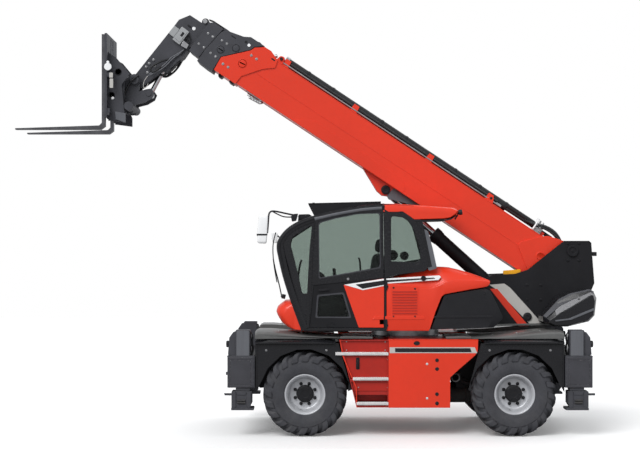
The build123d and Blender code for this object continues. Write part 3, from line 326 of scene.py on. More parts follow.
def piece(name, bm, body, material, smooth=35, bevel=0.0, segments=2, slot="usual"):
    """Finishes a mesh as a piece that rides on a body."""
    bmesh.ops.recalc_face_normals(bm, faces=bm.faces)
    mesh = bpy.data.meshes.new(name)
    bm.to_mesh(mesh)
    bm.free()
    obj = bpy.data.objects.new(name, mesh)
    mesh.materials.append(M[material])
    for polygon in mesh.polygons:
        polygon.use_smooth = smooth > 0
    if smooth:
        mesh.set_sharp_from_angle(angle=math.radians(smooth))
    if bevel:
        mod = obj.modifiers.new("bevel", "BEVEL")
        mod.width = bevel
        mod.segments = segments
        mod.limit_method = "ANGLE"
        mod.angle_limit = math.radians(28)
        mod.harden_normals = True
    mount(obj, body, material, slot)
    return obj


def stack(rings, caps=True):
    """Skin over rings of as many points each."""
    bm = bmesh.new()
    layers = [[bm.verts.new(p) for p in ring] for ring in rings]
    for low, high in zip(layers, layers[1:]):
        for n in range(len(low)):
            m = (n + 1) % len(low)
            bm.faces.new((low[n], low[m], high[m], high[n]))
    if caps:
        bm.faces.new(layers[0])
        bm.faces.new(layers[-1])
    return bm


def outline(points, y, put=at):
    """Points at one y of an outline given as (x, z), or as put() takes them."""
    return [put(a, y, b) for a, b in points]


def run(put, *points):
    """Points of a line, each placed by put()."""
    return [put(*point) for point in points]


def rect(x0, x1, z0, z1):
    """Outline with four square corners."""
    return [(x0, z0), (x1, z0), (x1, z1), (x0, z1)]


def slab(points, y0, y1, put=at):
    """Prism of an outline."""
    return stack([outline(points, y0, put), outline(points, y1, put)])


def merged(parts):
    """Several bmeshes as one."""
    whole = bmesh.new()
    for part in parts:
        mesh = bpy.data.meshes.new("part")
        part.to_mesh(mesh)
        part.free()
        whole.from_mesh(mesh)
        bpy.data.meshes.remove(mesh)
    return whole


def rounded(points, radius, steps=4):
    """Outline with its corners rounded."""
    out = []
    count = len(points)
    for n in range(count):
        a, b, c = (Vector(points[(n + k) % count]) for k in (-1, 0, 1))
        near = min(radius, (a - b).length * 0.45, (c - b).length * 0.45)
        start, end = b + (a - b).normalized() * near, b + (c - b).normalized() * near
        for k in range(steps + 1):
            t = k / steps
            out.append(tuple(start * (1 - t) ** 2 + b * 2 * t * (1 - t) + end * t ** 2))
    return out


def ring_points(centre, axis, radius, count):
    """Points round a centre, square to an axis."""
    axis = Vector(axis).normalized()
    u = axis.orthogonal().normalized()
    v = axis.cross(u)
    return [centre + (u * math.cos(a) + v * math.sin(a)) * radius
            for a in (2 * math.pi * n / count for n in range(count))]


def rod(start, end, radius, count=24, taper=1.0):
    """Round bar between two points."""
    axis = Vector(end) - Vector(start)
    return stack([ring_points(Vector(start), axis, radius, count),
        ring_points(Vector(end), axis, radius * taper, count)])


def lathe(profile, centre, axis=(0, 1, 0), count=64, closed=False):
    """Skin turned about an axis, of (distance along, radius)."""
    axis = Vector(axis).normalized()
    rings = [ring_points(centre + axis * w, axis, max(r, 1e-5), count) for w, r in profile]
    if closed:
        rings.append(rings[0])
        bm = stack(rings, caps=False)
        bmesh.ops.remove_doubles(bm, verts=bm.verts, dist=1e-6)
        return bm
    return stack(rings)


def bolts(places, axis, radius=0.011, height=0.008, washer=True):
    """Hexagon heads with washers, all as one."""
    axis = Vector(axis).normalized()
    parts = []
    for place in places:
        place = Vector(place)
        if washer:
            parts.append(rod(place - axis * 0.004, place + axis * 0.002, radius * 1.35, 20))
        parts.append(stack([ring_points(place, axis, radius, 6),
            ring_points(place + axis * height, axis, radius, 6), ring_points(place
            + axis * (height + radius * 0.15), axis, radius * 0.8, 6)]))
    return merged(parts)


def tube(name, points, radius, body, material, slot="usual"):
    """Pipe or hose that is held at both ends, on a smooth line."""
    curve = bpy.data.curves.new(name, "CURVE")
    curve.dimensions = "3D"
    curve.bevel_depth = radius
    curve.bevel_resolution = 4
    curve.resolution_u = 10
    curve.use_fill_caps = True
    line = curve.splines.new("NURBS")
    line.points.add(len(points) - 1)
    for point, place in zip(line.points, points):
        point.co = (*place, 1)
    line.order_u = 3
    line.use_endpoint_u = True
    curve.materials.append(M[material])
    mount(bpy.data.objects.new(name, curve), body, material, slot)


def paint(node, material):
    """Gives a CAD node its finish."""
    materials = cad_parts[node].data.materials
    materials.clear()
    materials.append(M[material])


# ---------------------------------------------------------------- finishes of the CAD nodes

FINISH = {
    "red": ["boom_outer", "side_boxes", "engine_housing"],
    "deep_red_and_shade": ["steps"],
    "black": ["turret_frame", "lift_barrel", "exhaust", "door", "roof_guard", "stabiliser_housings"],
    "gloss_black": ["mudguards", "cab_frame", "chassis_frame"],
    "grey": ["boom_section_2", "boom_section_3", "boom_section_4", "boom_head", "carriage_coupler",
        "fork_carriage", "tilt_barrel"],
    "plastic": ["hood"],
    "casting": ["axles", "driveline", "engine"],
    "chrome": ["lift_rod", "tilt_rod"],
    "steel": ["slew_ring"],
    "fork": ["forks"],
    "glass": ["cab_glass", "door_glass"],
    "hose": ["boom_hoses"],
}
for material, nodes in FINISH.items():
    for node in nodes:
        paint(node, material)
for name, end, hand in WHEELS:
    paint(f"knuckle_{name}", "casting")
    paint(f"stabiliser_beam_{name}", "grey")
    paint(f"stabiliser_leg_{name}", "grey")

# ---------------------------------------------------------------- wheels

SIDEWALL = [
    # distance outboard, radius
    (0.188, 0.262), (0.197, 0.264), (0.203, 0.272), (0.206, 0.283), (0.209, 0.287), (0.21, 0.295),
    (0.2155, 0.31), (0.2205, 0.335), (0.2235, 0.365), (0.2235, 0.39), (0.2215, 0.412), (0.2218, 0.4165),
    (0.218, 0.421), (0.214, 0.447), (0.204, 0.474), (0.186, 0.494), (0.16, 0.505), (0.12, 0.511),
    (0.06, 0.513),
]
LUG = [
    # distance outboard, tip radius, foot radius, how far round, half width
    (0.004, 0.5445, 0.502, -0.022, 0.024), (0.05, 0.545, 0.502, 0.012, 0.025),
    (0.1, 0.545, 0.5, 0.046, 0.026), (0.145, 0.5425, 0.495, 0.076, 0.027),
    (0.182, 0.5355, 0.482, 0.1, 0.0285), (0.208, 0.522, 0.46, 0.118, 0.03),
    (0.2225, 0.502, 0.44, 0.13, 0.031), (0.2275, 0.474, 0.428, 0.139, 0.031),
    (0.2262, 0.447, 0.424, 0.146, 0.029),
]
RIM = [(-0.2, 0.262), (-0.196, 0.268), (-0.188, 0.262), (-0.186, 0.24), (0.186, 0.24), (0.188, 0.259),
    (0.194, 0.265), (0.2, 0.262), (0.202, 0.252), (0.198, 0.244), (0.192, 0.241), (0.185, 0.238),
    (0.181, 0.231), (0.172, 0.227), (0.135, 0.224), (0.128, 0.219), (0.121, 0.217), (0.115, 0.211),
    (0.078, 0.206), (0.066, 0.199), (0.061, 0.188), (0.059, 0.165), (0.06, 0.114), (0.044, 0.114),
    (0.04, 0.19), (0.03, 0.205), (-0.19, 0.222), (-0.2, 0.235)]
LUGS = 20
NUTS, NUT_CIRCLE = 8, 0.138
HUB_BOLTS, HUB_CIRCLE = 6, 0.075


def lug_row(centre, hand, turn, w, tip, foot, lean, half):
    """Four corners of a lug at one distance outboard."""
    corners = []
    for radius, side in ((foot, -1), (tip, -1), (tip, 1), (foot, 1)):
        spread = half * (1.0 if radius == tip else 1.25) * side
        angle = turn + (lean + spread) / radius
        corners.append(centre + Vector((math.sin(angle) * radius, hand * w, math.cos(angle) * radius)))
    return corners


def tyre(name, centre, hand, body):
    """Carcass with shaped sidewalls, and two rows of lugs that meet the ground in a chevron."""
    half = SIDEWALL + [(0.0, 0.5135)]
    profile = half + [(-w, r) for w, r in SIDEWALL[::-1]] + [(-0.186, 0.25), (0.186, 0.25)]
    parts = [lathe(profile, centre, (0, hand, 0), 96, closed=True)]
    pitch = 2 * math.pi / LUGS
    for side in (1, -1):
        for n in range(LUGS):
            turn = pitch * (n + (0.5 if side < 0 else 0))
            rows = [lug_row(centre, hand * side, turn, *row) for row in LUG]
            parts.append(stack(rows))
    obj = piece(f"{name}_tread", merged(parts), body, "rubber", smooth=32, bevel=0.004, slot="tyre")
    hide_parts(name)


def wheel_rim(name, centre, hand, body):
    """Pressed rim with its hub, nuts and valve."""
    out = Vector((0, hand, 0))
    obj = piece(f"{name}_disc", lathe(RIM, centre, out, 96, closed=True), body, "silver", smooth=40,
        slot="rim_silver")
    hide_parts(name)
    hub = [(0.05, 0.114), (0.062, 0.114), (0.064, 0.11), (0.098, 0.108), (0.108, 0.104), (0.113, 0.096),
        (0.114, 0.05), (0.111, 0.046), (0.111, 0.0)]
    parts = [lathe(hub, centre, out, 48)]
    for n in range(NUTS):
        angle = 2 * math.pi / NUTS * (n + 0.5)
        place = centre + Vector((math.cos(angle) * NUT_CIRCLE, hand * 0.06, math.sin(angle) * NUT_CIRCLE))
        parts.append(rod(place, place + out * 0.008, 0.0225, 24))
        parts.append(stack([ring_points(place + out * h, out, r, 6) for h, r in
                            ((0.006, 0.0175), (0.03, 0.0175), (0.033, 0.0145))]))
        parts.append(rod(place + out * 0.03, place + out * 0.041, 0.0095, 14))
    for n in range(HUB_BOLTS):
        angle = 2 * math.pi / HUB_BOLTS * n
        place = centre + Vector((math.cos(angle) * HUB_CIRCLE, hand * 0.112, math.sin(angle) * HUB_CIRCLE))
        parts.append(stack([ring_points(place, out, 0.009, 6), ring_points(place + out * 0.007, out, 0.009,
            6)]))
    piece(f"{name}_hub", merged(parts), body, "black", smooth=35, bevel=0.0015)
    valve = centre + Vector((0.06, hand * 0.1, -0.195))
    piece(f"{name}_valve", rod(valve, valve + Vector((0.004, hand * 0.055, 0.012)), 0.006, 12), body, "steel")


AXLE_X, WHEEL_Y, WHEEL_Z = 1355, 985, 545      # a wheel's middle: ahead or behind, to the side, and up
for name, end, hand in WHEELS:
    centre = at(end * AXLE_X, hand * WHEEL_Y, WHEEL_Z)
    tyre(f"tyre_{name}", centre, hand, f"wheel_{name}")
    wheel_rim(f"rim_{name}", centre, hand, f"wheel_{name}")

# ---------------------------------------------------------------- left body, nose and roof of the cab

IN, OUT = 352, 1170


def body_station(x, low, crease, top, lean, pull_in):
    """Ring of the left body at one distance ahead, from its lower inner edge round the outside to the top."""
    out = OUT - pull_in
    return [at(x, y, z) for y, z in ((IN, low), (out - 14, low), (out - 4, low + 4), (out, low + 14),
        (out, (low + crease) / 2), (out - 1, crease - 10), (out - 6, crease + 2), (out - 16, crease + 8),
        (out - lean * 0.5, (crease + top) / 2 + 12), (out - lean, top - 18), (out - lean - 40, top - 4),
        (out - lean - 110, top), (IN + 40, top - 6), (IN, top - 14))]


BODY = [
    # distance ahead, lower edge, crease, top, how far the shoulder leans in
    (299, 1367, 1985, 2047, 60), (290, 1367, 1986, 2050, 62), (100, 1367, 1962, 2097, 80),
    (-100, 1367, 1930, 2146, 100), (-250, 1367, 1915, 2180, 118), (-262, 1394, 1916, 2182, 119),
    (-330, 1600, 1935, 2190, 126), (-405, 1790, 1972, 2193, 132), (-420, 1812, 1980, 2193, 133),
    (-452, 1838, 1998, 2192, 135), (-520, 1852, 2018, 2186, 138), (-640, 1874, 2022, 2158, 128),
    (-790, 1902, 2018, 2116, 105), (-920, 1922, 2013, 2070, 80), (-1000, 1936, 2006, 2038, 60),
    (-1030, 1955, 1998, 2022, 50), (-1041, 1975, 1996, 2010, 40),
]
stations = [body_station(x, low, crease, top, lean, max(0, (-x - 900) * 0.35))
    for x, low, crease, top, lean in BODY]
left_body = piece("left_body", stack(stations), "turret", "red", smooth=24)
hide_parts("red_panels")

panel = rounded([(-118, 1532), (246, 1532), (246, 1962), (-118, 1930)], 14)
piece("louvre_panel", slab(panel, OUT - 2, OUT + 3), "turret", "red", bevel=0.002)
LOUVRES = [1878 - 35 * n for n in range(9)]
# the louvres' slots are thin sheets of darker red set in the openings: painted shade inside the slots
slots = [stack([outline([(-96, z), (224, z)], OUT + upper) + outline([(224, z - 15), (-96, z - 15)], OUT
    + lower) for upper, lower in ((3.2, 3.2), (-4, 4))]) for z in LOUVRES]
piece("louvre_slot_shade", merged(slots), "turret", "deep_red_and_shade", smooth=0)
lips = [slab(rounded(rect(-100, 228, z - 19, z - 13), 3), OUT + 2, OUT + 9) for z in LOUVRES]
piece("louvre_lips", merged(lips), "turret", "red", bevel=0.0015)
piece("louvre_bolts", bolts(outline([(-67, 1553), (210, 1553), (-67, 1912), (210, 1925)], OUT + 3), (0, 1, 0),
    0.009), "turret", "black", slot=None)

# the pod let into the body's lower rear corner
POD = [
    # outline where the face begins to round, and the outline it rounds to
    ((-446, 1826), (-455, 1829)), ((-700, 1869), (-700, 1880)), ((-925, 1903), (-966, 1922)),
    ((-975, 1870), (-1048, 1882)), ((-1055, 1700), (-1140, 1700)), ((-1100, 1580), (-1204, 1560)),
    ((-1080, 1535), (-1208, 1520)), ((-1040, 1455), (-1150, 1462)), ((-1010, 1405), (-1092, 1408)),
    ((-600, 1391), (-600, 1389)), ((-280, 1386), (-272, 1384)),
]
face = outline([corner for corner, _ in POD], OUT - 22)
edge = [at(x, OUT - (24 if x > -480 else 60), z) for _, (x, z) in POD]
behind = [(x + (60 if x < -900 else 0), z) for _, (x, z) in POD]
pod = piece("pod_shell", stack([face, edge, outline(behind, OUT - 260), outline(behind, IN + 2)]), "turret",
    "plastic", bevel=0.012, segments=4)
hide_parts("left_pod")
piece("pod_rib", slab([(-300, 1560), (-1060, 1568), (-1075, 1545), (-1060, 1536), (-300, 1532)], OUT - 30,
    OUT - 14), "turret", "plastic", bevel=0.004)
piece("pod_bolts", bolts(outline([(-480, 1792), (-968, 1850), (-310, 1412)], OUT - 22), (0, 1, 0), 0.008),
    "turret", "black", slot=None)

NOSE = [(1392, 1378), (1537, 1384), (1590, 1416), (1668, 1480), (1714, 1560), (1732, 1608), (1728, 1634),
    (1714, 1673), (1668, 1712), (1615, 1751), (1540, 1756)]


def nose_ring(y, pull):
    """Outline of the nose at one y, drawn back towards the cab."""
    return [at(1392 + (x - 1392) * pull, y, z if z < 1400 else 1378 + (z - 1378) * (0.5 + 0.5 * pull))
        for x, z in NOSE]


nose = [nose_ring(y, pull) for y, pull in ((IN + 30, 0.62), (IN + 60, 0.86), (IN + 140, 0.97), (600, 1.0),
    (900, 1.0), (1030, 0.97), (1110, 0.86), (1145, 0.7), (1152, 0.62))]
piece("cab_nose", stack(nose), "turret", "red", smooth=40)
lamp_at = at(1612, 1101, 1560)
aim = Vector((0.664, 0.747, 0.0)).normalized()
piece("nose_lamp_ring", lathe([(-0.03, 0.05), (0.004, 0.05), (0.008, 0.046), (0.004, 0.041)], lamp_at, aim,
    40), "turret", "red")
piece("nose_lamp", lathe([(-0.02, 0.04), (0.004, 0.04), (0.009, 0.028), (0.011, 0.0)], lamp_at, aim, 40),
    "turret", "amber")

ROOF = [(350, 3014), (180, 3013), (-196, 2990), (-560, 2962), (-604, 2950), (-640, 2908), (-612, 2872),
    (-540, 2826), (-455, 2812), (-60, 2800), (90, 2900), (166, 2935), (350, 2937)]
roof_rings = []
for y, pull, sink in ((IN + 4, 0.9, 26), (IN + 20, 0.95, 8), (IN + 90, 1.0, 0), (1060, 1.0, 0),
        (1140, 0.985, 6), (1170, 0.97, 18), (1177, 0.96, 30)):
    roof_rings.append([at(x if x > 0 else x * pull, y, z - (sink if z > 2930 else -sink * 0.4))
        for x, z in ROOF])
piece("cab_roof", stack(roof_rings), "turret", "red", smooth=38)
under = [(84, 2894), (-62, 2796), (-455, 2808), (-540, 2822), (-610, 2868), (-600, 2850), (-536, 2806),
    (-456, 2790), (-50, 2778), (94, 2880)]
piece("cab_roof_edge", slab(under, IN + 8, OUT + 4), "turret", "plastic", bevel=0.005)
rear_lamp = at(-648, 1090, 2900)
piece("rear_lamp", merged([lathe([(-0.03, 0.02), (0.0, 0.034), (0.03, 0.036), (0.036, 0.03), (0.036, 0.0)],
    rear_lamp, (-1, 0, 0.15), 32), rod(rear_lamp + Vector((0.02, 0, -0.03)), rear_lamp
    + Vector((0.06, 0, -0.09)), 0.01, 12)]), "turret", "plastic")

# ---------------------------------------------------------------- cab

ARCH = [
    # outer edge of the cab's side, from the floor at the front up and over the roof to its rear
    (1400, 1376), (1446, 1490), (1490, 1610), (1574, 1848), (1650, 2096), (1702, 2324), (1721, 2440),
    (1703, 2544), (1602, 2678), (1447, 2780), (1219, 2863), (972, 2927), (668, 2983), (500, 3002),
    (330, 3013),
]


def smooth_line(points):
    """Points on a rounded line through the given ones."""
    steps = 6
    out = []
    for n in range(len(points) - 1):
        p0, p1, p2, p3 = (Vector(points[min(max(n + k, 0), len(points) - 1)]) for k in (-1, 0, 1, 2))
        for k in range(steps):
            t = k / steps
            out.append(0.5 * (2 * p1 + (p2 - p0) * t + (2 * p0 - 5 * p1 + 4 * p2 - p3) * t * t
                              + (3 * p1 - p0 - 3 * p2 + p3) * t ** 3))
    out.append(Vector(points[-1]))
    return out


def band(line, section):
    """Section swept along a line in the side view; the section is (inward, y) from the line."""
    rings = []
    count = len(line)
    for n, p in enumerate(line):
        a, b = line[max(n - 1, 0)], line[min(n + 1, count - 1)]
        along = (b - a).normalized()
        inward = Vector((-along[1], along[0]))
        rings.append([at(p[0] + inward[0] * d, y, p[1] + inward[1] * d) for d, y in section])
    return stack(rings)


arch = smooth_line(ARCH)
shell = [(0, 1085), (-3, 1120), (4, 1150), (20, 1170), (52, 1180), (86, 1178), (96, 1166), (98, 1120),
    (90, 1085)]
piece("cab_arch_left", band(arch, shell), "turret", "gloss_black", smooth=50)
far_shell = [(0, 460), (-3, 400), (4, 372), (20, 354), (52, 348), (84, 352), (92, 380), (90, 460)]
piece("cab_arch_right", band(arch, far_shell), "turret", "gloss_black", smooth=50)
gutter = [(18, 1172), (20, 1184), (34, 1190), (48, 1186), (50, 1176)]
piece("cab_gutter", band(arch[26:], gutter), "turret", "black", smooth=50)

# windows' outlines and the frames round them
UPPER_PANE = [(1186, 2772), (971, 2832), (667, 2888), (380, 2900), (375, 2180), (1180, 2040)]
UPPER_FRAME = [(1222, 2806), (971, 2872), (667, 2926), (342, 2938), (338, 2052), (1268, 1952)]
FRONT_FRAME = [(1640, 2540), (1480, 2690), (1225, 2790), (1256, 2309), (1284, 1560), (1356, 1560),
    (1500, 1964), (1618, 2372)]
FRONT_PANE = [(1530, 2560), (1440, 2634), (1268, 2732), (1296, 2309), (1322, 1850), (1390, 1850),
    (1436, 2073), (1536, 2469)]


def ring_frame(outer, inner, y0, y1, radius):
    """Frame between two outlines of as many corners each."""
    outer, inner = rounded(outer, radius), rounded(inner, radius)
    loops = [outline(line, y) for line, y in ((outer, y0), (outer, y1), (inner, y1), (inner, y0))]
    bm = stack(loops + loops[:1], caps=False)
    bmesh.ops.remove_doubles(bm, verts=bm.verts, dist=1e-6)
    return bm


piece("door_upper_frame", ring_frame(UPPER_FRAME, UPPER_PANE, OUT - 4, OUT + 10, 26), "door", "gloss_black",
    bevel=0.004, segments=3)
outer, inner = ([(x + grow * (1 if x > 700 else -1), z + grow * (1 if z > 2500 else -1))
    for x, z in UPPER_PANE] for grow in (9, -13))
piece("door_upper_seal", ring_frame(outer, inner, OUT - 12, OUT + 4, 40), "door", "rubber", bevel=0.002)
piece("door_lower_seal", ring_frame([(1199, 1833), (851, 1866), (752, 1532), (1221, 1532)],
    [(1178, 1812), (868, 1843), (780, 1551), (1199, 1551)], OUT - 12, OUT + 5, 24), "door", "rubber",
    bevel=0.002)
red_panel = rounded([(856, 1961), (334, 2046), (334, 1410), (660, 1410)], 10)
piece("door_red_panel", slab(red_panel, OUT - 2, OUT + 8), "door", "red", bevel=0.003, segments=3)
piece("door_crease", slab([(452, 1556), (337, 1556), (337, 1516), (490, 1511)], OUT + 4, OUT + 14), "door",
    "red", bevel=0.004, segments=3)
piece("body_crease", slab([(318, 1556), (-182, 1556), (-196, 1514), (318, 1511)], OUT - 4, OUT + 6), "turret",
    "red", bevel=0.004, segments=3)
belt = [(852, 1964), (334, 2043), (334, 1948), (606, 1893)]
piece("door_belt", slab(rounded(belt, 5), OUT + 4, OUT + 10), "door", "white", bevel=0.001, slot="red_paint")
piece("door_belt_infill", slab(rounded([(702, 1966), (337, 2020), (337, 1962), (612, 1912)], 4), OUT + 8, OUT
    + 12), "door", "gloss_black", bevel=0.001)
stripe = [(318, 2044), (-380, 2084), (-406, 2066), (-372, 2024), (318, 1975)]
piece("body_belt", slab(rounded(stripe, 5), OUT - 32, OUT - 3), "turret", "white", bevel=0.001,
    slot="red_paint")
infill = [(318, 2022), (-308, 2056), (-330, 2044), (318, 1996)]
piece("body_belt_infill", slab(rounded(infill, 4), OUT - 30, OUT + 2), "turret", "gloss_black", bevel=0.001)
lock = at(-177, OUT + 2, 2046)
piece("body_lock", merged([lathe([(-0.03, 0.034), (0.006, 0.034), (0.012, 0.03), (0.012, 0.02),
    (0.008, 0.018), (0.008, 0.0)], lock, (0, 1, 0), 40), rod(lock, lock + Vector((0, 0.016, 0)), 0.009, 16)]),
    "turret", "plastic")
piece("door_badge_ring", lathe([(0.0, 0.05), (0.004, 0.052), (0.006, 0.047), (0.002, 0.045), (0.0, 0.05)],
    Vector((0, 0, 0)), (0, 1, 0), 48, closed=True), "door", "black")
badge = bpy.data.objects["door_badge_ring"]
for vertex in badge.data.vertices:
    vertex.co = at(1024, OUT, 1444) + Vector((vertex.co.x * 1.05, vertex.co.y, vertex.co.z * 0.62))

# hinges, handle and seams of the door
for n, (z0, z1) in enumerate(((1894, 2027), (1392, 1518))):
    piece(f"door_hinge_{n}", slab(rounded(rect(318, 290, z0, z1), 6), OUT + 1, OUT + 16), "turret", "plastic",
        bevel=0.004)
piece("door_handle", merged([slab(rounded([(1180, 1905), (1040, 1919), (1040, 1890), (1180, 1876)], 8), OUT
    + 6, OUT + 20), rod(at(1075, OUT + 4, 1903), at(1075, OUT + 30, 1903), 0.014, 20)]), "door", "plastic",
    bevel=0.003)
piece("door_lock", lathe([(0.0, 0.017), (0.008, 0.017), (0.012, 0.013), (0.012, 0.0)], at(799, OUT + 8, 2038),
    (0, 1, 0), 28), "door", "steel")
sill = [(1390, 1368), (1398, 1398), (300, 1398), (300, 1368)]
piece("cab_sill", slab(sill, OUT - 20, OUT + 4), "turret", "gloss_black", bevel=0.004)

# the front and rear pillars and the frames of the side windows
pillar = [(1300, 1990), (1238, 2770), (1260, 2774), (1300, 2380), (1336, 1690), (1330, 1410), (1296, 1410)]
piece("front_pillar", slab(rounded(pillar, 8), OUT - 10, OUT + 8), "turret", "gloss_black", bevel=0.005,
    segments=3)
piece("middle_pillar", slab(rounded([(326, 2940), (326, 2052), (268, 2060), (262, 2900)], 12), OUT - 6, OUT
    + 8), "turret", "gloss_black", bevel=0.006, segments=3)
rear_outer = [(300, 2905), (300, 2075), (-210, 2140), (-246, 2230), (-190, 2540), (-92, 2762), (28, 2890)]
rear_inner = [(241, 2852), (241, 2218), (-95, 2218), (-138, 2270), (-120, 2495), (-34, 2704), (56, 2828)]
piece("front_window_frame", ring_frame(FRONT_FRAME, FRONT_PANE, OUT - 8, OUT + 5, 30), "turret",
    "gloss_black", bevel=0.004, segments=3)
piece("rear_window_frame", ring_frame(rear_outer, rear_inner, OUT - 8, OUT + 6, 40), "turret", "gloss_black",
    bevel=0.004, segments=3)
rear_pillar = [(-178, 2560), (-204, 2300), (-246, 2140), (-352, 2176), (-300, 2420), (-236, 2660),
    (-170, 2690)]
piece("rear_pillar", slab(rounded(rear_pillar, 24), OUT - 60, OUT - 4), "turret", "column", bevel=0.012,
    segments=4)
piece("rear_pillar_slot", slab(rounded([(-196, 2300), (-214, 2300), (-236, 2190), (-218, 2190)], 6), OUT - 6,
    OUT - 2), "turret", "plastic", bevel=0.002)
# a rounded band along the cab's top edge in light grey: painted highlight of the sky on the black roof edge
highlight_line = smooth_line([(1236, 2840), (970, 2902), (670, 2956), (500, 2974), (362, 2984)])
piece("roof_edge_highlight", band(highlight_line, [(0, 1160), (2, 1182), (14, 1192), (34, 1192), (46, 1184), (48, 1164)]),
    "turret", "column", smooth=50)

# wiper over the windscreen
piece("wiper_motor", merged([rod(at(1612, 940, 1798), at(1660, 940, 1810), 0.03, 24),
    rod(at(1640, 940, 1804), at(1672, 940, 1812), 0.016, 20)]), "turret", "plastic", bevel=0.003)
tube("wiper_arm", run(at, (1664, 940, 1812), (1690, 945, 1950), (1752, 960, 2180), (1772, 965, 2300)), 0.008,
    "turret", "black")
tube("wiper_link", run(at, (1664, 900, 1812), (1700, 910, 1980), (1742, 940, 2150)), 0.005, "turret", "black")
blade = [at(x, 965 + k, z) for x, k, z in ((1722, 0, 1990), (1752, 2, 2140), (1772, 4, 2300), (1778, 4, 2430),
                                          (1768, 2, 2540), (1738, 0, 2640))]
tube("wiper_blade", blade, 0.007, "turret", "plastic")

# mirrors
MIRROR_LINE = [(1830, 2862), (1948, 2868), (1975, 2616), (1968, 2500), (1853, 2494), (1843, 2616)]
MIRROR_MIDDLE = Vector((1902, 2682))


def mirror_ring(shrink, y):
    """Outline of the mirror's housing at one y, shrunk towards its middle."""
    return outline([MIRROR_MIDDLE + (Vector(p) - MIRROR_MIDDLE) * shrink
        for p in rounded(MIRROR_LINE, 26, 5)], y)


head = [mirror_ring(s, y) for s, y in ((0.9, 1146), (0.97, 1152), (1.0, 1166), (1.0, 1186), (0.985, 1200),
    (0.93, 1211), (0.8, 1215))]
mirror_head = piece("mirror_head", stack(head), "turret", "white", smooth=60, slot="black_plastic")
piece("mirror_band", slab([(1840, 2622), (1978, 2622), (1978, 2600), (1842, 2600)], 1142, 1218), "turret",
    "plastic", bevel=0.002)
piece("mirror_face", slab(rounded([(1848, 2850), (1936, 2852), (1960, 2626), (1858, 2626)], 14), 1138, 1148),
    "turret", "mirror", slot="black_plastic")
tube("mirror_arm", run(at, (1480, 1125, 2862), (1580, 1132, 2880), (1720, 1142, 2912), (1790, 1148, 2918),
    (1820, 1156, 2890), (1826, 1162, 2840), (1834, 1166, 2700), (1842, 1168, 2630)), 0.011, "turret",
    "plastic")
tube("mirror_stay", run(at, (1520, 1112, 2840), (1600, 1120, 2836), (1680, 1130, 2858), (1770, 1142, 2908)),
    0.008, "turret", "plastic")
far = [outline(rounded([(1726, 2635), (1812, 2635), (1806, 2540), (1790, 2503), (1740, 2503)], 14), y)
    for y in (374, 382, 450, 460)]
piece("far_mirror", stack(far), "turret", "white", bevel=0.006, segments=3, slot="black_plastic")
tube("far_mirror_arm", run(at, (1690, 420, 2560), (1720, 420, 2600), (1745, 418, 2610)), 0.009, "turret",
    "plastic")
piece("mirror_bracket", merged([slab(rounded([(1444, 2884), (1500, 2880), (1540, 2852), (1524, 2780),
    (1470, 2790)], 10), 1066, 1146), rod(at(1484, 1058, 2852), at(1484, 1152, 2852), 0.026, 24)]), "turret",
    "plastic", bevel=0.004, segments=3)
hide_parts("mirror")

# work lamps on the roof
lamp_line = [(1441, 2876), (1302, 2880), (1250, 2846), (1262, 2810), (1441, 2740)]
for n, y in enumerate((IN + 60, OUT - 260)):
    shell_of = piece(f"work_lamp_{n}", slab(rounded(lamp_line, 14), y, y + 110), "turret", "plastic",
        bevel=0.008, segments=3)
    if n == 0:
        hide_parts("lamps")
    piece(f"work_lamp_lens_{n}", stack([[at(1440, y + a, 2750 + b)
        for a, b in ((12, 12), (98, 12), (98, 108), (12, 108))],
        [at(1450, y + a, 2750 + b) for a, b in ((16, 16), (94, 16), (94, 104), (16, 104))]]), "turret",
        "lens", bevel=0.004, slot="glass")

# ---------------------------------------------------------------- boom

BOOM_Y = 210                 # half widths: the outer section, and the collars of the second and third
COLLAR_2_Y = 230
COLLAR_3_Y = 208
DISC_FACE = Vector((0, 0.0065, 0))             # how far a disc's slot stands off the collar
TUBE_R = 0.0635                # hole in the clamps round the tube on top of the boom
SIDES = [(1, "left"), (-1, "right")]


def boom_plate(points, y0, y1, hand=1):
    """Prism of an outline given as (s, h) on the boom."""
    return slab(points, hand * y0, hand * y1, on_boom)


def disc_on(place, hand, radius):
    """Round boss on a side plate."""
    height = 0.006
    return lathe([(-0.006, radius + 0.008), (0.002, radius + 0.007), (0.003, radius + 0.002), (0.0, radius),
                  (0.0, radius - 0.004), (height, radius - 0.007), (height + 0.001, radius - 0.012),
                  (height + 0.001, 0.0)], place, (0, hand, 0), 40)


def slots_on(places, hand, length, width, angle):
    """Round-ended slots on a side plate, as thin dark pieces at an angle."""
    along = Vector((math.cos(angle), 0, math.sin(angle)))
    across = Vector((-math.sin(angle), 0, math.cos(angle)))
    line = []
    for n in range(20):
        turn = 2 * math.pi * n / 20
        line.append(along * (math.copysign(length / 2 - width / 2, math.cos(turn))
            + math.cos(turn) * width / 2) + across * math.sin(turn) * width / 2)
    return merged([stack([[place + p + Vector((0, hand * w, 0)) for p in line] for w in (-0.002, 0.0005)])
                   for place in places])


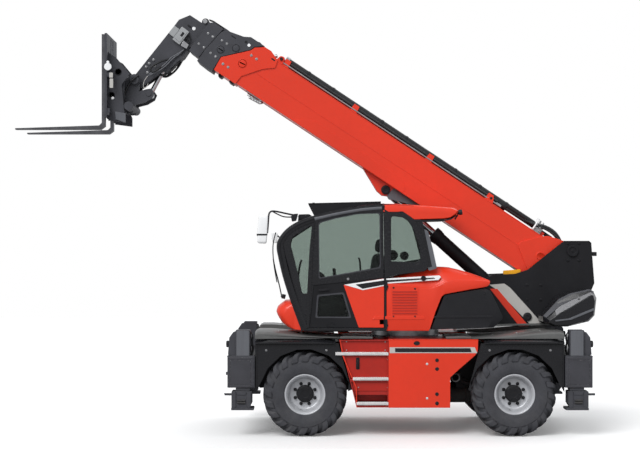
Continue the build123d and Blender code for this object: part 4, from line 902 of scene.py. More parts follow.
for hand, side_name in SIDES:
    seam = [(646, -326), (4868, -343), (4868, -351), (646, -334)]
    piece(f"boom_seam_{side_name}", boom_plate(seam, BOOM_Y - 2, BOOM_Y + 4, hand), "boom", "red",
        bevel=0.0015)
    lower = rounded([(2335, -607), (2335, -540), (2427, -455), (3900, -449), (4130, -607)], 40)
    piece(f"boom_lower_plate_{side_name}", boom_plate(lower, BOOM_Y - 2, BOOM_Y + 6, hand), "boom", "red",
        bevel=0.002)
    root = rounded([(650, -335), (636, -272), (452, -70), (379, -4), (139, 62), (-60, 62), (-150, -30),
        (-150, -420), (110, -560), (330, -560)], 46, 5)
    piece(f"boom_root_plate_{side_name}", boom_plate(root, BOOM_Y - 30, BOOM_Y + 16, hand), "boom", "red",
        bevel=0.004, segments=3)
    turns = [2 * math.pi * n / 32 for n in range(32)]
    pill = [on_boom(318 + 52 * math.cos(a) - (110 if math.cos(a) < 0 else 0), 0, -290 + 52 * math.sin(a))
        for a in turns]
    pocket = []
    for grow, y in ((1.0, 15), (1.0, 20), (0.93, 24), (0.86, 22), (0.8, 17)):
        middle = on_boom(265, 0, -290)
        pocket.append([middle + (p - middle) * grow + Vector((0, hand * (BOOM_Y + y) / 1000, 0))
            for p in pill])
    piece(f"boom_root_pocket_{side_name}", stack(pocket), "boom", "red", smooth=50)
    piece(f"boom_top_edge_{side_name}", boom_plate(rect(460, 4714, -50, -62), BOOM_Y - 8, BOOM_Y + 4, hand),
        "boom", "red", bevel=0.003)
    piece(f"boom_low_edge_{side_name}", boom_plate(rect(200, 5030, -597, -613), BOOM_Y - 8, BOOM_Y + 4, hand),
        "boom", "red", bevel=0.003)
    y = hand * (BOOM_Y + 16)
    piece(f"boom_collar_bolts_{side_name}", bolts(outline([(5073, -185), (4989, -186), (5331, -492),
        (5249, -491)], y, on_boom), (0, hand, 0), 0.014, 0.01), "boom", "steel")
    piece(f"boom_collar_disc_{side_name}", disc_on(on_boom(5114, y, -343), hand, 0.056), "boom", "red")
    piece(f"boom_collar_slots_{side_name}", slots_on([on_boom(5114, y, -343) + DISC_FACE * hand],
        hand, 0.085, 0.016, BOOM_ANGLE + math.radians(-8)), "boom", "plastic")
    piece(f"boom_top_slot_{side_name}", slots_on([on_boom(4796, y, -68)], hand, 0.06, 0.02, BOOM_ANGLE),
        "boom", "plastic")
    y2 = hand * COLLAR_2_Y
    piece(f"section_2_bolts_{side_name}", bolts(outline([(5517, -234), (5437, -235), (5551, -463),
        (5469, -465)], y2, on_boom), (0, hand, 0), 0.013, 0.01), "section_2", "steel")
    for n, (s, h) in enumerate(((5463, -348), (5300, -218))):
        piece(f"section_2_disc_{n}_{side_name}", disc_on(on_boom(s, y2, h), hand, 0.05), "section_2", "grey")
    piece(f"section_2_slots_{side_name}", slots_on([on_boom(5463, y2, -348) + DISC_FACE * hand,
        on_boom(5410, y2, -109)], hand, 0.075, 0.015, BOOM_ANGLE), "section_2", "plastic")
    piece(f"section_2_plugs_{side_name}", rod(on_boom(5175, y2 - hand * 2, -88),
        on_boom(5175, y2 + hand * 8, -88), 0.022, 28), "section_2", "white", bevel=0.002)
    piece(f"section_2_eye_{side_name}", rod(on_boom(5233, y2 - hand * 2, -73),
        on_boom(5233, y2 + hand * 1, -73), 0.02, 28), "section_2", "plastic")
    y3 = hand * COLLAR_3_Y
    piece(f"section_3_bolts_{side_name}", bolts(outline([(5729, -258), (5649, -259), (5756, -444),
        (5672, -447)], y3, on_boom), (0, hand, 0), 0.013, 0.01), "section_3", "steel")

# the head's roller, and the chains' and hoses' guards over the joints of the sections
roller = on_boom(5858, 0, -140)
piece("head_roller", merged([rod(roller + Vector((0, -0.16, 0)), roller + Vector((0, 0.16, 0)), 0.022, 24),
    lathe([(-0.1, 0.05), (-0.09, 0.05), (-0.08, 0.038), (0.08, 0.038), (0.09, 0.05), (0.1, 0.05)], roller,
    (0, 1, 0), 36)]), "section_4", "plastic")
cap = [rod(roller + Vector((0, h * 0.155, 0)), roller + Vector((0, h * 0.172, 0)), 0.03, 28) for h in (1, -1)]
piece("head_roller_caps", merged(cap), "section_4", "steel", bevel=0.003)
strap = [(5842, -74), (5781, -60), (5556, -58), (5500, -62), (5500, -70), (5558, -68), (5781, -71),
    (5840, -86)]
piece("section_chain_guard", boom_plate(strap, -60, 60), "section_3", "plastic", bevel=0.002)
rear_guard = [(5191, -52), (5170, 10), (5088, 40), (5030, 26), (5010, -30), (5100, -52)]
piece("section_hose_guard", boom_plate(rounded(rear_guard, 12), -110, 110), "section_2", "plastic",
    bevel=0.004)
hook = rounded([(4770, -50), (4745, 34), (4700, 48), (4672, 36), (4660, -50)], 16)
piece("boom_hook", boom_plate(hook, 150, 176), "boom", "red", bevel=0.003)
piece("boom_hook_bar", rod(on_boom(4712, 60, 4), on_boom(4712, 196, 4), 0.022, 24), "boom", "plastic",
    bevel=0.003)
piece("tube_front_clamp", merged([lathe([(-0.03, TUBE_R), (-0.028, 0.072), (0.028, 0.072), (0.03, TUBE_R)],
    on_boom(4640, 30, 22), on_boom(1, 0, 0) - on_boom(0, 0, 0), 40),
    rod(on_boom(4826, 60, -20), on_boom(4790, 60, 20), 0.024, 20)]), "boom", "steel", bevel=0.003)

# pads and brackets under the boom's front
piece("boom_front_pads", merged([boom_plate([(5320, -620), (5250, -620), (5262, -660), (5308, -660)], -120,
    120), boom_plate([(5150, -606), (5070, -606), (5080, -646), (5140, -646)], -150, 150)]), "boom",
    "plastic", bevel=0.004)
rails = [boom_plate([(4880, -612), (4620, -612), (4618, -622), (4650, -654), (4820, -668), (4832, -656),
    (4660, -642), (4640, -624), (4870, -624)], 190 * h, 198 * h) for h in (1, -1)]
rails += [boom_plate([(s, -646), (s - 16, -644), (s - 16, -654), (s, -656)], -194, 194)
    for s in (4800, 4750, 4700, 4660)]
piece("boom_front_bracket", merged(rails), "boom", "steel", bevel=0.002)

# top tube's collars, clamps, valve block and hoses at the boom's root
clamp_rings = []
for s in (1064, 1500, 1900, 2700, 3100, 3900, 4300):
    clamp_rings.append(lathe([(-0.018, TUBE_R), (-0.016, 0.067), (0.016, 0.067), (0.018, TUBE_R)],
        on_boom(s, 30, 22), on_boom(1, 0, 0) - on_boom(0, 0, 0), 40))
piece("tube_collars", merged(clamp_rings), "boom", "plastic")
for n, (y, h, r, material) in enumerate(((-40, 4, 0.02, "hose"), (-78, -8, 0.016, "hose"),
        (104, -14, 0.016, "steel"), (150, -22, 0.012, "steel"))):
    tube(f"boom_pipe_{n}", [on_boom(s, y, h + (r * 1000 - 14)) for s in (1120, 2300, 3500, 4720)], r, "boom",
        material, slot="rubber" if material == "hose" else "steel")
lug = rounded([(1356, -50), (1316, 34), (1272, 34), (1232, -50)], 26)
piece("boom_lug", boom_plate(lug, 150, 172), "boom", "red", bevel=0.003)
# a black disc set in the lug's hole: painted shade of the opening
piece("boom_lug_hole_shade", rod(on_boom(1294, 149, 0), on_boom(1294, 173, 0), 0.019, 24), "boom", "plastic")
block_line = [(596, -46), (470, -46), (470, 64), (520, 84), (596, 70)]
piece("root_valve_block", boom_plate(block_line, 40, 130), "boom", "steel", bevel=0.004)
fittings = []
for s, y, h in ((560, 130, 0), (520, 130, 30), (490, 130, -10), (575, 130, 44), (500, 60, 80), (550, 90, 80)):
    start = on_boom(s, y, h)
    away = Vector((0, 0.035, 0)) if h < 60 else (on_boom(0, 0, 35) - on_boom(0, 0, 0))
    fittings.append(rod(start, start + away, 0.014, 6))
    fittings.append(rod(start + away * 0.6, start + away * 1.3, 0.01, 16))
piece("root_fittings", merged(fittings), "boom", "steel", bevel=0.001)
u_bolt = run(on_boom, (592, 60, -20), (592, 60, 118), (592, 80, 128), (592, 140, 128), (592, 160, 118),
    (592, 160, -40))
tube("root_clamp", u_bolt, 0.012, "boom", "white", slot="steel")
for n, (y, lift, r) in enumerate(((50, 66, 0.02), (85, 82, 0.017), (115, 70, 0.017), (-10, 60, 0.02),
        (-60, 74, 0.017), (145, 40, 0.014))):
    route = run(on_boom, (700 + 10 * n, y, 6), (600, y, lift * 0.6), (430, y + 6, lift + 26),
        (270, y + 10, lift + 18), (120, y * 0.8, 10), (60, y * 0.7, -46))
    tube(f"root_hose_{n}", route, r, "boom", "hose")
tube("boom_thin_tube", [on_boom(s, 60, 46) for s in (1060, 900, 760, 610)], 0.034, "boom", "hose")
piece("boom_root_cover", boom_plate([(452, -52), (380, -8), (140, 56), (-60, 56), (-60, -60), (452, -60)],
    -206, -150), "boom", "red", bevel=0.003)

# bracket plate beside the lift cylinder's ear, and the cylinder's fittings
ear_plate = rounded([(2467, -609), (1990, -609), (2210, -690), (2440, -770), (2500, -740)], 16)
for hand, side_name in SIDES:
    piece(f"ear_plate_{side_name}", boom_plate(ear_plate, 104, 112, hand), "boom", "column", bevel=0.003,
        slot=None)
    piece(f"ear_pin_{side_name}", lathe([(0, 0.062), (0.012, 0.062), (0.018, 0.054), (0.018, 0.03),
        (0.012, 0.026), (0.012, 0.0)], on_boom(2551, hand * 112, -692), (0, hand, 0), 40), "boom", "plastic")
LIFT_FOOT, LIFT_EYE = Vector((-1633, 1511)), Vector((267.2, 3227.9))      # the cylinder's pins, x and z
LIFT_LINE = (LIFT_EYE - LIFT_FOOT).normalized()


def on_lift(distance, y=0.0, off=0.0):
    """A point of the lift cylinder's axes: along it from the foot, and square to it."""
    p = LIFT_FOOT + LIFT_LINE * distance + Vector((-LIFT_LINE.y, LIFT_LINE.x)) * off
    return at(p.x, y, p.y)


gland = lathe([(1.56, 0.094), (1.565, 0.098), (1.6, 0.1), (1.672, 0.1), (1.684, 0.094), (1.686, 0.06)],
              on_lift(0), on_lift(1000) - on_lift(0), 48)
piece("lift_gland", gland, "lift_barrel", "black")
tube("lift_pipe", run(on_lift, (240, -84, 0), (250, -112, 0), (420, -116, 0), (1380, -116, 0),
    (1500, -112, 0), (1520, -88, 0)), 0.012, "lift_barrel", "black")
ports = [rod(on_lift(d, -86, 0), on_lift(d, -118, 0), 0.02, 6) for d in (236, 1520)]
piece("lift_ports", merged(ports), "lift_barrel", "black", bevel=0.002)

# ---------------------------------------------------------------- head and fork carriage

for hand, side_name in SIDES:
    y = hand * 140
    piece(f"head_plug_{side_name}", rod(on_boom(5934, y, -305), on_boom(5934, y + hand * 12, -305), 0.024,
        28), "section_4", "white", bevel=0.002)
    piece(f"head_slot_{side_name}", slots_on([on_boom(6005, y + hand * 6, -311)], hand, 0.055, 0.024,
        BOOM_ANGLE), "section_4", "plastic")
    piece(f"head_bolts_{side_name}", bolts(outline([(6182, -1035), (6189, -1096), (6131, -1152),
        (6097, -1020), (6160, -960)], y + hand * 6, on_boom), (0, hand, 0), 0.014, 0.012), "section_4",
        "steel")
    piece(f"hinge_cap_{side_name}", lathe([(0.0, 0.066), (0.014, 0.066), (0.022, 0.056), (0.022, 0.032),
        (0.014, 0.028), (0.014, 0.0)], on_boom(6215, hand * 202, -1335), (0, hand, 0), 44), "section_4",
        "grey")

junction = [(5957, -380), (6080, -372), (6094, -590), (5971, -600)]
piece("junction_box", boom_plate(rounded(junction, 12), 146, 190), "section_4", "junction", bevel=0.006,
    segments=3)
piece("junction_lid", boom_plate(rounded([(5975, -400), (6062, -394), (6072, -560), (5985, -568)], 10), 186,
    196), "section_4", "junction", bevel=0.004)
piece("junction_plate", boom_plate(rounded([(6092, -420), (6176, -418), (6182, -548), (6098, -556)], 8), 146,
    158), "section_4", "junction", bevel=0.003)
piece("junction_window", boom_plate(rounded([(5996, -430), (6030, -428), (6034, -490), (6000, -492)], 6), 195,
    198), "section_4", "plastic")
glands = []
for n in range(3):
    start = on_boom(5962 - 2 * n, 168, -420 - 55 * n)
    glands.append(rod(start, start + (on_boom(0, 0, 0) - on_boom(34, 0, 0)), 0.013, 6))
piece("junction_glands", merged(glands), "section_4", "plastic")
for n in range(3):
    tube(f"junction_cable_{n}", run(on_boom, (5930, 168, -420 - 55 * n), (5895, 170, -430 - 60 * n),
        (5880, 166, -520 - 50 * n), (5890, 156, -640 - 30 * n)), 0.008, "section_4", "hose")
valve = [(5962, -520), (5868, -528), (5860, -590), (5950, -600)]
piece("head_valve", boom_plate(rounded(valve, 8), 146, 186), "section_4", "steel", bevel=0.004)
for n, off in enumerate((0, 26)):
    tube(f"head_pipe_{n}", run(on_boom, (5888, 158 + n * 6, -600 - off), (5900 + off, 160, -690 - off),
        (5948 + off, 168, -800), (5962 + off, 190, -930), (6010 + off, 214, -1060), (6092, 216, -1190 + off)),
        0.0085, "section_4", "column", slot="steel")
loop = run(on_boom, (5985, 166, -840), (6040, 200, -905), (6100, 220, -1010), (6122, 222, -1085),
    (6090, 222, -1120), (6044, 222, -1090), (6020, 212, -1010), (5990, 168, -930))
tube("head_hose_loop", loop, 0.013, "section_4", "hose")
tube("head_white_cable", run(on_boom, (6092, 216, -1184), (6100, 214, -1240), (6084, 214, -1310),
    (6050, 214, -1360), (6020, 214, -1330), (6030, 212, -1270)), 0.0045, "section_4", "pale")
for n, (dy, off) in enumerate(((120, 0), (-96, 20), (-120, 0))):
    tube(f"head_hose_{n}", run(on_boom, (5870, dy, -720), (5850, dy, -850 - off), (5900, dy, -1030),
        (5960, dy * 0.8, -1080), (6060, dy * 0.7, -1100)), 0.014, "section_4", "hose")

HINGE = (3677.4, 4714.05)


def on_carriage(dx, y, dz):
    """A point from the carriage's hinge."""
    return at(HINGE[0] + dx, y, HINGE[1] + dz)


def carriage_plate(points, y0, y1):
    return stack([outline(points, y, on_carriage) for y in (y0, y1)])


for hand, side_name in SIDES:
    cheek = rounded([(352, 352), (230, 290), (40, 62), (150, -80), (112, -452), (140, -560), (300, -560),
        (352, -540)], 14)
    piece(f"carriage_cheek_{side_name}", carriage_plate(cheek, hand * 366, hand * 376), "carriage", "grey",
        bevel=0.003)
    y = hand * 376
    rims = []
    for dx, dz, r in ((196, 92, 0.034), (283, -218, 0.03)):
        rims.append(lathe([(0, r + 0.012), (0.006, r + 0.012), (0.008, r + 0.006), (0.001, r), (-0.004, r),
                           (-0.004, 0.0)], on_carriage(dx, y, dz), (0, hand, 0), 36))
    piece(f"carriage_holes_{side_name}", merged(rims), "carriage", "plastic")
    edge = rounded([(238, -440), (97, -467), (97, -593), (229, -548)], 8)
    piece(f"carriage_foot_{side_name}", carriage_plate(edge, hand * 376, hand * 388), "carriage", "column",
        bevel=0.004, slot=None)
piece("carriage_lock_disc", merged([rod(on_carriage(319, 492, 146), on_carriage(319, 508, 146), 0.05, 40),
    rod(on_carriage(319, 492, 206), on_carriage(319, 504, 206), 0.02, 24),
    rod(on_carriage(319, 470, 180), on_carriage(319, 494, 180), 0.016, 24)]), "carriage", "white",
    bevel=0.005)
tags = [slab(rounded(rect(x - 26, x + 22, z - h, z + h), 6), 491, 494)
    for x, z, h in ((3956, 4748, 34), (3952, 4640, 62))]
piece("carriage_tags", merged(tags), "carriage", "pale", bevel=0.001)
piece("carriage_plug", rod(on_carriage(270, 376, -263), on_carriage(270, 390, -263), 0.02, 24), "carriage",
    "white", bevel=0.003)
bars = []
for z in (-440, 40):
    bars.append(stack([[on_carriage(332 + a, y, z + b) for a, b in ((-40, -30), (2, -30), (2, 30), (-40, 30))]
                       for y in (-492, 492)]))
piece("carriage_bars", merged(bars), "carriage", "grey", bevel=0.005)
for n, y in enumerate((215, 195, -195)):
    tube(f"carriage_hose_{n}", run(on_carriage, (-60, y, 60), (20, y + 26, 10), (100, y + 40, -120),
        (150, y + 30, -260), (190, y, -330)), 0.012, "carriage", "hose")
hinge_ring = lathe([(0.0, 0.082), (0.01, 0.082), (0.014, 0.076), (0.014, 0.068), (0.006, 0.066),
    (0.0, 0.066)], on_carriage(0, 190, 0), (0, 1, 0), 44)
piece("coupler_ring", hinge_ring, "carriage", "grey")
stubs = [rod(on_carriage(-192, h * 152, -185), on_carriage(-192, h * 200, -185), 0.036, 28) for h in (1, -1)]
piece("lever_pin", merged(stubs), "carriage", "grey", bevel=0.003)
hooks = [stack([[on_carriage(300 + a, h * 420 + b, z) for a, b in rect(0, 72, -70, 70)]
    for z in (-500, -466)]) for h in (1, -1)]
piece("fork_hooks", merged(hooks), "carriage", "fork", bevel=0.006, slot="black_paint")

# ---------------------------------------------------------------- chassis

OUTER = 1210                 # half the machine's width


def side_slab(points, y0, y1, end=1, hand=1):
    """Prism of an outline, mirrored to an end and a side."""
    return slab([(x * end, z) for x, z in points], hand * y0, hand * y1)


def brick(x0, x1, y0, y1, z0, z1):
    return slab(rect(x0, x1, z0, z1), y0, y1)


DECK = [(760, 1262), (760, 1288), (839, 1293), (1135, 1308), (1395, 1330), (1654, 1355), (1821, 1366),
    (1969, 1366), (2004, 1350), (2006, 1262)]
LIP = [(969, 1204), (969, 1216), (1006, 1241), (1246, 1258), (1817, 1256), (1996, 1216), (1996, 1204)]
WING = [(2004, 1190), (2004, 610), (1968, 560), (1900, 566), (1850, 760), (1740, 1000), (1700, 1190)]
BELLY = [(1010, 760), (1010, 690), (760, 560), (664, 560), (640, 700), (640, 1000), (1010, 1000)]
decks, lips, wings, skirt_bolts, deck_bolts, treads = [], [], [], [], [], []
for end in (1, -1):
    for hand in (1, -1):
        rings = []
        for y, sink in ((470, 0), (1050, 0), (1120, 22), (1136, 40)):
            rings.append([at(x * end, hand * y, z - (sink if z > 1270 else 0)) for x, z in DECK])
        decks.append(stack(rings))
        rings = []
        for y, sink in ((820, 0), (1120, 0), (1190, 14), (1211, 30)):
            rings.append([at(x * end, hand * y, max(z - sink, 1203 + (z - 1203) * 0.05)) for x, z in LIP])
        lips.append(stack(rings))
        wings.append(side_slab(WING, 412, 432, end, hand))
        wings.append(side_slab(BELLY, 412, 432, end, hand))
        for x in ((1857, 1078) if end > 0 else (1818, 1032)):
            skirt_bolts.append(bolts([at(x * end, hand * 1170, 1116)], (0, hand, 0), 0.011, 0.006))
        for x in (1080, 1400, 1700):
            deck_bolts.append(bolts([at(x * end, hand * 1010, 1303 + (x - 1080) * 0.083)], (0, 0, 1), 0.012,
                0.008))
piece("deck_plates", merged(decks), "chassis", "deck", smooth=30, bevel=0.006)
piece("mudguard_lips", merged(lips), "chassis", "gloss_black", smooth=30, bevel=0.005)
piece("frame_wings", merged(wings), "chassis", "black", bevel=0.003)
piece("skirt_bolts", merged(skirt_bolts), "chassis", "steel")
piece("deck_bolts", merged(deck_bolts), "chassis", "steel")
creases = []
for end in (1, -1):
    for hand in (1, -1):
        creases.append(side_slab([(1990, 1196), (980, 1196), (984, 1184), (1986, 1184)], 1168, 1178, end,
            hand))
        creases.append(side_slab(rect(1994, 1974, 1184, 640), 1168, 1178, end, hand))
piece("mudguard_folds", merged(creases), "chassis", "gloss_black", bevel=0.003)

# side boxes: stripe, seams, screws, covers
for hand, side_name in SIDES:
    face = hand * OUTER
    front = 276 if hand > 0 else 900
    stripe = [(front - 14, 1158), (-836, 1158), (-868, 1082), (front - 14, 1082)]
    piece(f"box_stripe_{side_name}", side_slab(stripe, OUTER - 4, OUTER + 1.5, 1, hand), "chassis", "pale",
        bevel=0.001, slot="red_paint")
    infill = [(front - 84, 1146), (-778, 1146), (-796, 1094), (front - 84, 1094)]
    piece(f"box_stripe_infill_{side_name}", side_slab(infill, OUTER - 3, OUTER + 2.5, 1, hand), "chassis",
        "plastic", bevel=0.001)
    caps = [lathe([(0, 0.024), (0.005, 0.024), (0.008, 0.02), (0.008, 0.0)], at(-348, face, z), (0, hand, 0),
        28) for z in (991, 878, 554, 435)]
    piece(f"box_caps_{side_name}", merged(caps), "chassis", "plastic")
    studs = bolts([at(-220, face, z) for z in (942, 500)], (0, hand, 0), 0.012, 0.006)
    piece(f"box_studs_{side_name}", studs, "chassis", "tread")
    oval = []
    for lift, grow in ((0.0, 1.0), (0.006, 0.97), (0.008, 0.9), (0.004, 0.84), (0.004, 0.0001)):
        oval.append([at(-88 + 40 * grow * math.cos(a), face, 1211 + 27 * grow * math.sin(a))
            + Vector((0, hand * lift, 0)) for a in (2 * math.pi * n / 36 for n in range(36))])
    piece(f"box_badge_{side_name}", stack(oval), "chassis", "plastic", smooth=50)
    sheet = [(front, 1060), (-836, 1060), (-519, 770), (-519, 380), (front, 380)]
    if hand > 0:
        piece("box_front_sheet", side_slab(sheet, OUTER - 2, OUTER + 1, 1, hand), "chassis", "red")
    rims = [side_slab(rect(front, -879, 1256, 1248), OUTER - 6, OUTER + 2, 1, hand),
        side_slab(rect(front, -519, 386, 378), OUTER - 6, OUTER + 2, 1, hand),
        side_slab([(-511, 770), (-519, 774), (-519, 378), (-511, 378)], OUTER - 6, OUTER + 2, 1, hand)]
    piece(f"box_edges_{side_name}", merged(rims), "chassis", "red", bevel=0.002)

# steps on the left, with risers, treads, rivets and the grab handle
risers = [side_slab(points, 1150, 1172) for points in (
    [(908, 1252), (278, 1252), (278, 1092), (868, 1092)], [(858, 1048), (278, 1048), (278, 762), (786, 762)],
    [(744, 716), (278, 716), (278, 590), (722, 590)])]
piece("step_risers", merged(risers), "chassis", "step_red", bevel=0.003)
piece("step_recess_back", side_slab([(716, 588), (282, 588), (282, 452), (694, 452)], 1000, 1008), "chassis",
    "deep_red_and_shade")
for z, x1 in ((1054, 962), (730, 738), (411, 690)):
    lip = [(OUTER - 66, z + 38), (OUTER + 2, z + 38), (OUTER + 4, z + 34), (OUTER + 4, z), (OUTER - 8, z),
        (OUTER - 10, z + 30), (OUTER - 66, z + 32)]
    treads.append(stack([[at(x, y, h) for y, h in lip] for x in (278, x1)]))
    teeth = []
    for n in range(int((x1 - 300) / 24)):
        x = 300 + n * 24
        teeth.append(brick(x, x + 12, OUTER + 3, OUTER + 7, z + 8, z + 30))
        teeth.append(brick(x, x + 12, OUTER - 52, OUTER - 8, z + 37, z + 42))
    treads.append(merged(teeth))
piece("step_treads", merged(treads), "chassis", "tread", bevel=0.002)
edge = [(910, 1256), (900, 1256), (858, 1046), (688, 640), (680, 384), (692, 384), (700, 636), (870, 1040)]
piece("step_front_edge", side_slab(edge, OUTER - 44, OUTER - 4), "chassis", "red", bevel=0.002)
rivet_places = [(819, 1229), (819, 1119), (318, 1225), (318, 1119), (285, 998), (285, 637), (664, 637),
    (724, 1072)]
piece("step_rivets", bolts(outline(rivet_places, 1172), (0, 1, 0), 0.009, 0.005, washer=False), "chassis",
    "steel")
piece("step_handle_recess", side_slab(rounded(rect(648, 696, 1022, 868), 12), 1168, 1175), "chassis",
    "plastic", bevel=0.003)
tube("step_handle", run(at, (672, 1172, 1006), (672, 1196, 1000), (672, 1200, 945), (672, 1196, 890),
    (672, 1172, 884)), 0.009, "chassis", "plastic")
piece("ring_shelf", merged([side_slab([(900, 1262), (478, 1262), (478, 1290), (790, 1300), (900, 1292)], 480,
    1140), side_slab([(-470, 1262), (-800, 1262), (-800, 1292), (-690, 1300), (-470, 1290)], 480, 1140)]),
    "chassis", "deck", bevel=0.006)

# exhaust, pipes and casings between the side box and the rear wheel
ring = lathe([(-0.16, 0.046), (-0.02, 0.046), (-0.006, 0.05), (0.0, 0.056), (0.004, 0.054), (0.002, 0.045),
    (-0.02, 0.043), (-0.16, 0.04)], at(-593, 1158, 761), (0, 1, 0), 44, closed=True)
piece("exhaust_tip", ring, "chassis", "casting")
tube("exhaust_pipe", run(at, (-593, 900, 770), (-594, 840, 785), (-598, 760, 815), (-600, 690, 830),
    (-600, 600, 835)), 0.03, "chassis", "steel", slot="steel")
barrel = [(-0.2, 0.0), (-0.2, 0.11), (-0.15, 0.118), (-0.14, 0.13), (-0.11, 0.13), (-0.1, 0.112),
    (0.1, 0.112), (0.11, 0.126), (0.14, 0.126), (0.15, 0.114), (0.2, 0.106), (0.2, 0.0)]
piece("drive_barrel", lathe(barrel, at(-690, 330, 470), (1, 0, 0), 48), "chassis", "casting", bevel=0.003)
for n, (y, z) in enumerate(((470, 640), (500, 610), (450, 590))):
    tube(f"chassis_hose_{n}", run(at, (-640, y, z + 120), (-760, y + 30, z + 40), (-900, y, z),
        (-1050, y - 40, z + 40), (-1180, y - 60, z + 90)), 0.014, "chassis", "hose")
    tube(f"chassis_front_hose_{n}", run(at, (640, y, z + 130), (800, y + 20, z + 60), (980, y, z + 30),
        (1150, y - 60, z + 100)), 0.012, "chassis", "hose")

# ---------------------------------------------------------------- stabilisers

for name, end, hand in WHEELS:
    beam, leg = f"stabiliser_beam_{name}", f"stabiliser_leg_{name}"
    rim, hole = rect(2016, 2356, 1030, 640), rect(2052, 2320, 994, 676)
    sides = [side_slab([rim[n], rim[(n + 1) % 4], hole[(n + 1) % 4], hole[n]], OUTER - 4, OUTER + 5, end,
        hand) for n in range(4)]
    piece(f"beam_face_rim_{name}", merged(sides), beam, "worn_grey", bevel=0.004)
    for plate, paint_name, bevel, y0, y1, line in (
        ("beam_face_plate", "worn_grey", 0, OUTER - 3, OUTER + 2, hole),
        ("beam_collar", "grey", 0.005, 1030, 1206, [(2010, 1030), (2362, 1030), (2358, 1048), (2014, 1048)]),
        ("column_face", "column", 0.004, 1186, 1200,
         [(2076, 1047), (2240, 1047), (2240, 1364), (2232, 1372), (2084, 1372), (2076, 1364)]),
        ("column_cap", "grey", 0.004, 1004, 1198, [(2060, 1362), (2256, 1362), (2246, 1378), (2070, 1378)]),
        ("foot_hook", "grey", 0.003, 1060, 1130,
         [(2330, 540), (2404, 556), (2404, 548), (2360, 532), (2330, 526)]),
    ):
        body = leg if plate == "foot_hook" else beam
        piece(f"{plate}_{name}", side_slab(line, y0, y1, end, hand), body, paint_name, bevel=bevel)
    lamp_ring = at(end * 2348, hand * 1120, 1195)
    out = Vector((end, 0, 0))
    piece(f"corner_lamp_{name}", lathe([(-0.045, 0.0), (-0.045, 0.03), (-0.01, 0.042), (0.02, 0.044),
        (0.026, 0.04), (0.024, 0.036)], lamp_ring, out, 36), beam, "plastic")
    piece(f"corner_lens_{name}", lathe([(0.018, 0.037), (0.026, 0.034), (0.03, 0.018), (0.031, 0.0)],
        lamp_ring, out, 36), beam, "lens" if end > 0 else "red_lens")
    for n, (y, bend) in enumerate(((1040, 18), (1062, 6), (1084, 14))):
        tube(f"column_hose_{n}_{name}", outline([(end * (2066 - n * 4), 1340), (end * (2046 - bend), 1290),
            (end * (2054 - n * 5), 1210), (end * (2040 - bend), 1120), (end * 2052, 1046)], hand * y), 0.011,
            beam, "hose")
    couplings = []
    for n, (y, z) in enumerate(((1040, 1320), (1062, 1300), (1084, 1326), (1040, 1150), (1062, 1120),
            (1084, 1160))):
        couplings.append(rod(at(end * 2056, hand * y, z), at(end * 2050, hand * y, z - 40), 0.015, 6))
    piece(f"column_couplings_{name}", merged(couplings), beam, "steel", bevel=0.001)
    cheeks = []
    for x0, x1 in ((2052, 2104), (2248, 2304)):
        cheek = rounded([(x0, 588), (x1, 588), (x1, 388), (x1 - 8, 376), (x0 + 8, 376), (x0, 388)], 8)
        cheeks.append(side_slab(cheek, 1192, 1212, end, hand))
    cheeks.append(side_slab([(2104, 588), (2248, 588), (2230, 540), (2122, 540)], 1194, 1206, end, hand))
    piece(f"foot_cheeks_{name}", merged(cheeks), leg, "grey", bevel=0.012, segments=3)
    pins = [rod(at(end * 2128, hand * 1206, z), at(end * 2226, hand * 1206, z), 0.014, 20)
        for z in (470, 440)]
    piece(f"foot_pins_{name}", merged(pins), leg, "casting", bevel=0.002, slot="black_paint")
    pad = []
    for x in (2056, 2112, 2204, 2262):
        pad.append(side_slab([(x, 346), (x + 34, 346), (x + 30, 378), (x + 4, 378)], 990, 1204, end, hand))
    piece(f"foot_pad_{name}", merged(pad), leg, "casting", bevel=0.005, slot="black_paint")
for end, end_name in ((1, "front"), (-1, "rear")):
    cross = brick(end * 2366, end * 2350, -880, 880, 700, 960)
    piece(f"beam_end_plate_{end_name}", cross, "chassis", "grey", bevel=0.006)
    ribs = [brick(end * 2370, end * 2364, y - 12, y + 12, 660, 1020) for y in (-600, -200, 200, 600)]
    piece(f"beam_ribs_{end_name}", merged(ribs), "chassis", "grey", bevel=0.003)
    hitch = lathe([(-0.02, 0.02), (-0.02, 0.06), (0.02, 0.06), (0.02, 0.02)], at(end * 2390, 0, 720),
        (0, 0, 1), 28, closed=True)
    piece(f"towing_eye_{end_name}", hitch, "chassis", "grey", bevel=0.004)

# ---------------------------------------------------------------- cab's inside

SEAT_Y = 761


def pad_form(name, rings, body, material, swell):
    """Cushion: a smooth closed form from rings, blown up a little as cloth."""
    obj = piece(name, stack(rings), body, material, smooth=180, slot="seat")
    remesh = obj.modifiers.new("even", "REMESH")
    remesh.mode = "VOXEL"
    remesh.voxel_size = 0.007
    settle(obj)
    smooth = obj.modifiers.new("soften", "SMOOTH")
    smooth.factor, smooth.iterations = 0.6, 8
    settle(obj)
    before = [v.co.copy() for v in obj.data.vertices]
    cloth = obj.modifiers.new("fill", "CLOTH")
    cloth.settings.use_pressure = True
    cloth.settings.uniform_pressure_force = 4.0
    cloth.settings.quality = 4
    cloth.settings.effector_weights.gravity = 0
    cloth.collision_settings.use_collision = False
    for frame_number in range(1, 13):
        scene.frame_set(frame_number)
    graph = bpy.context.evaluated_depsgraph_get()
    after = [v.co.copy() for v in obj.evaluated_get(graph).data.vertices]
    obj.modifiers.remove(cloth)
    scene.frame_set(1)
    for vertex, was, now in zip(obj.data.vertices, before, after):
        step = now - was
        if step.length > swell:
            step = step * (swell / step.length)
        vertex.co = was + step
    for polygon in obj.data.polygons:
        polygon.use_smooth = True
    return obj


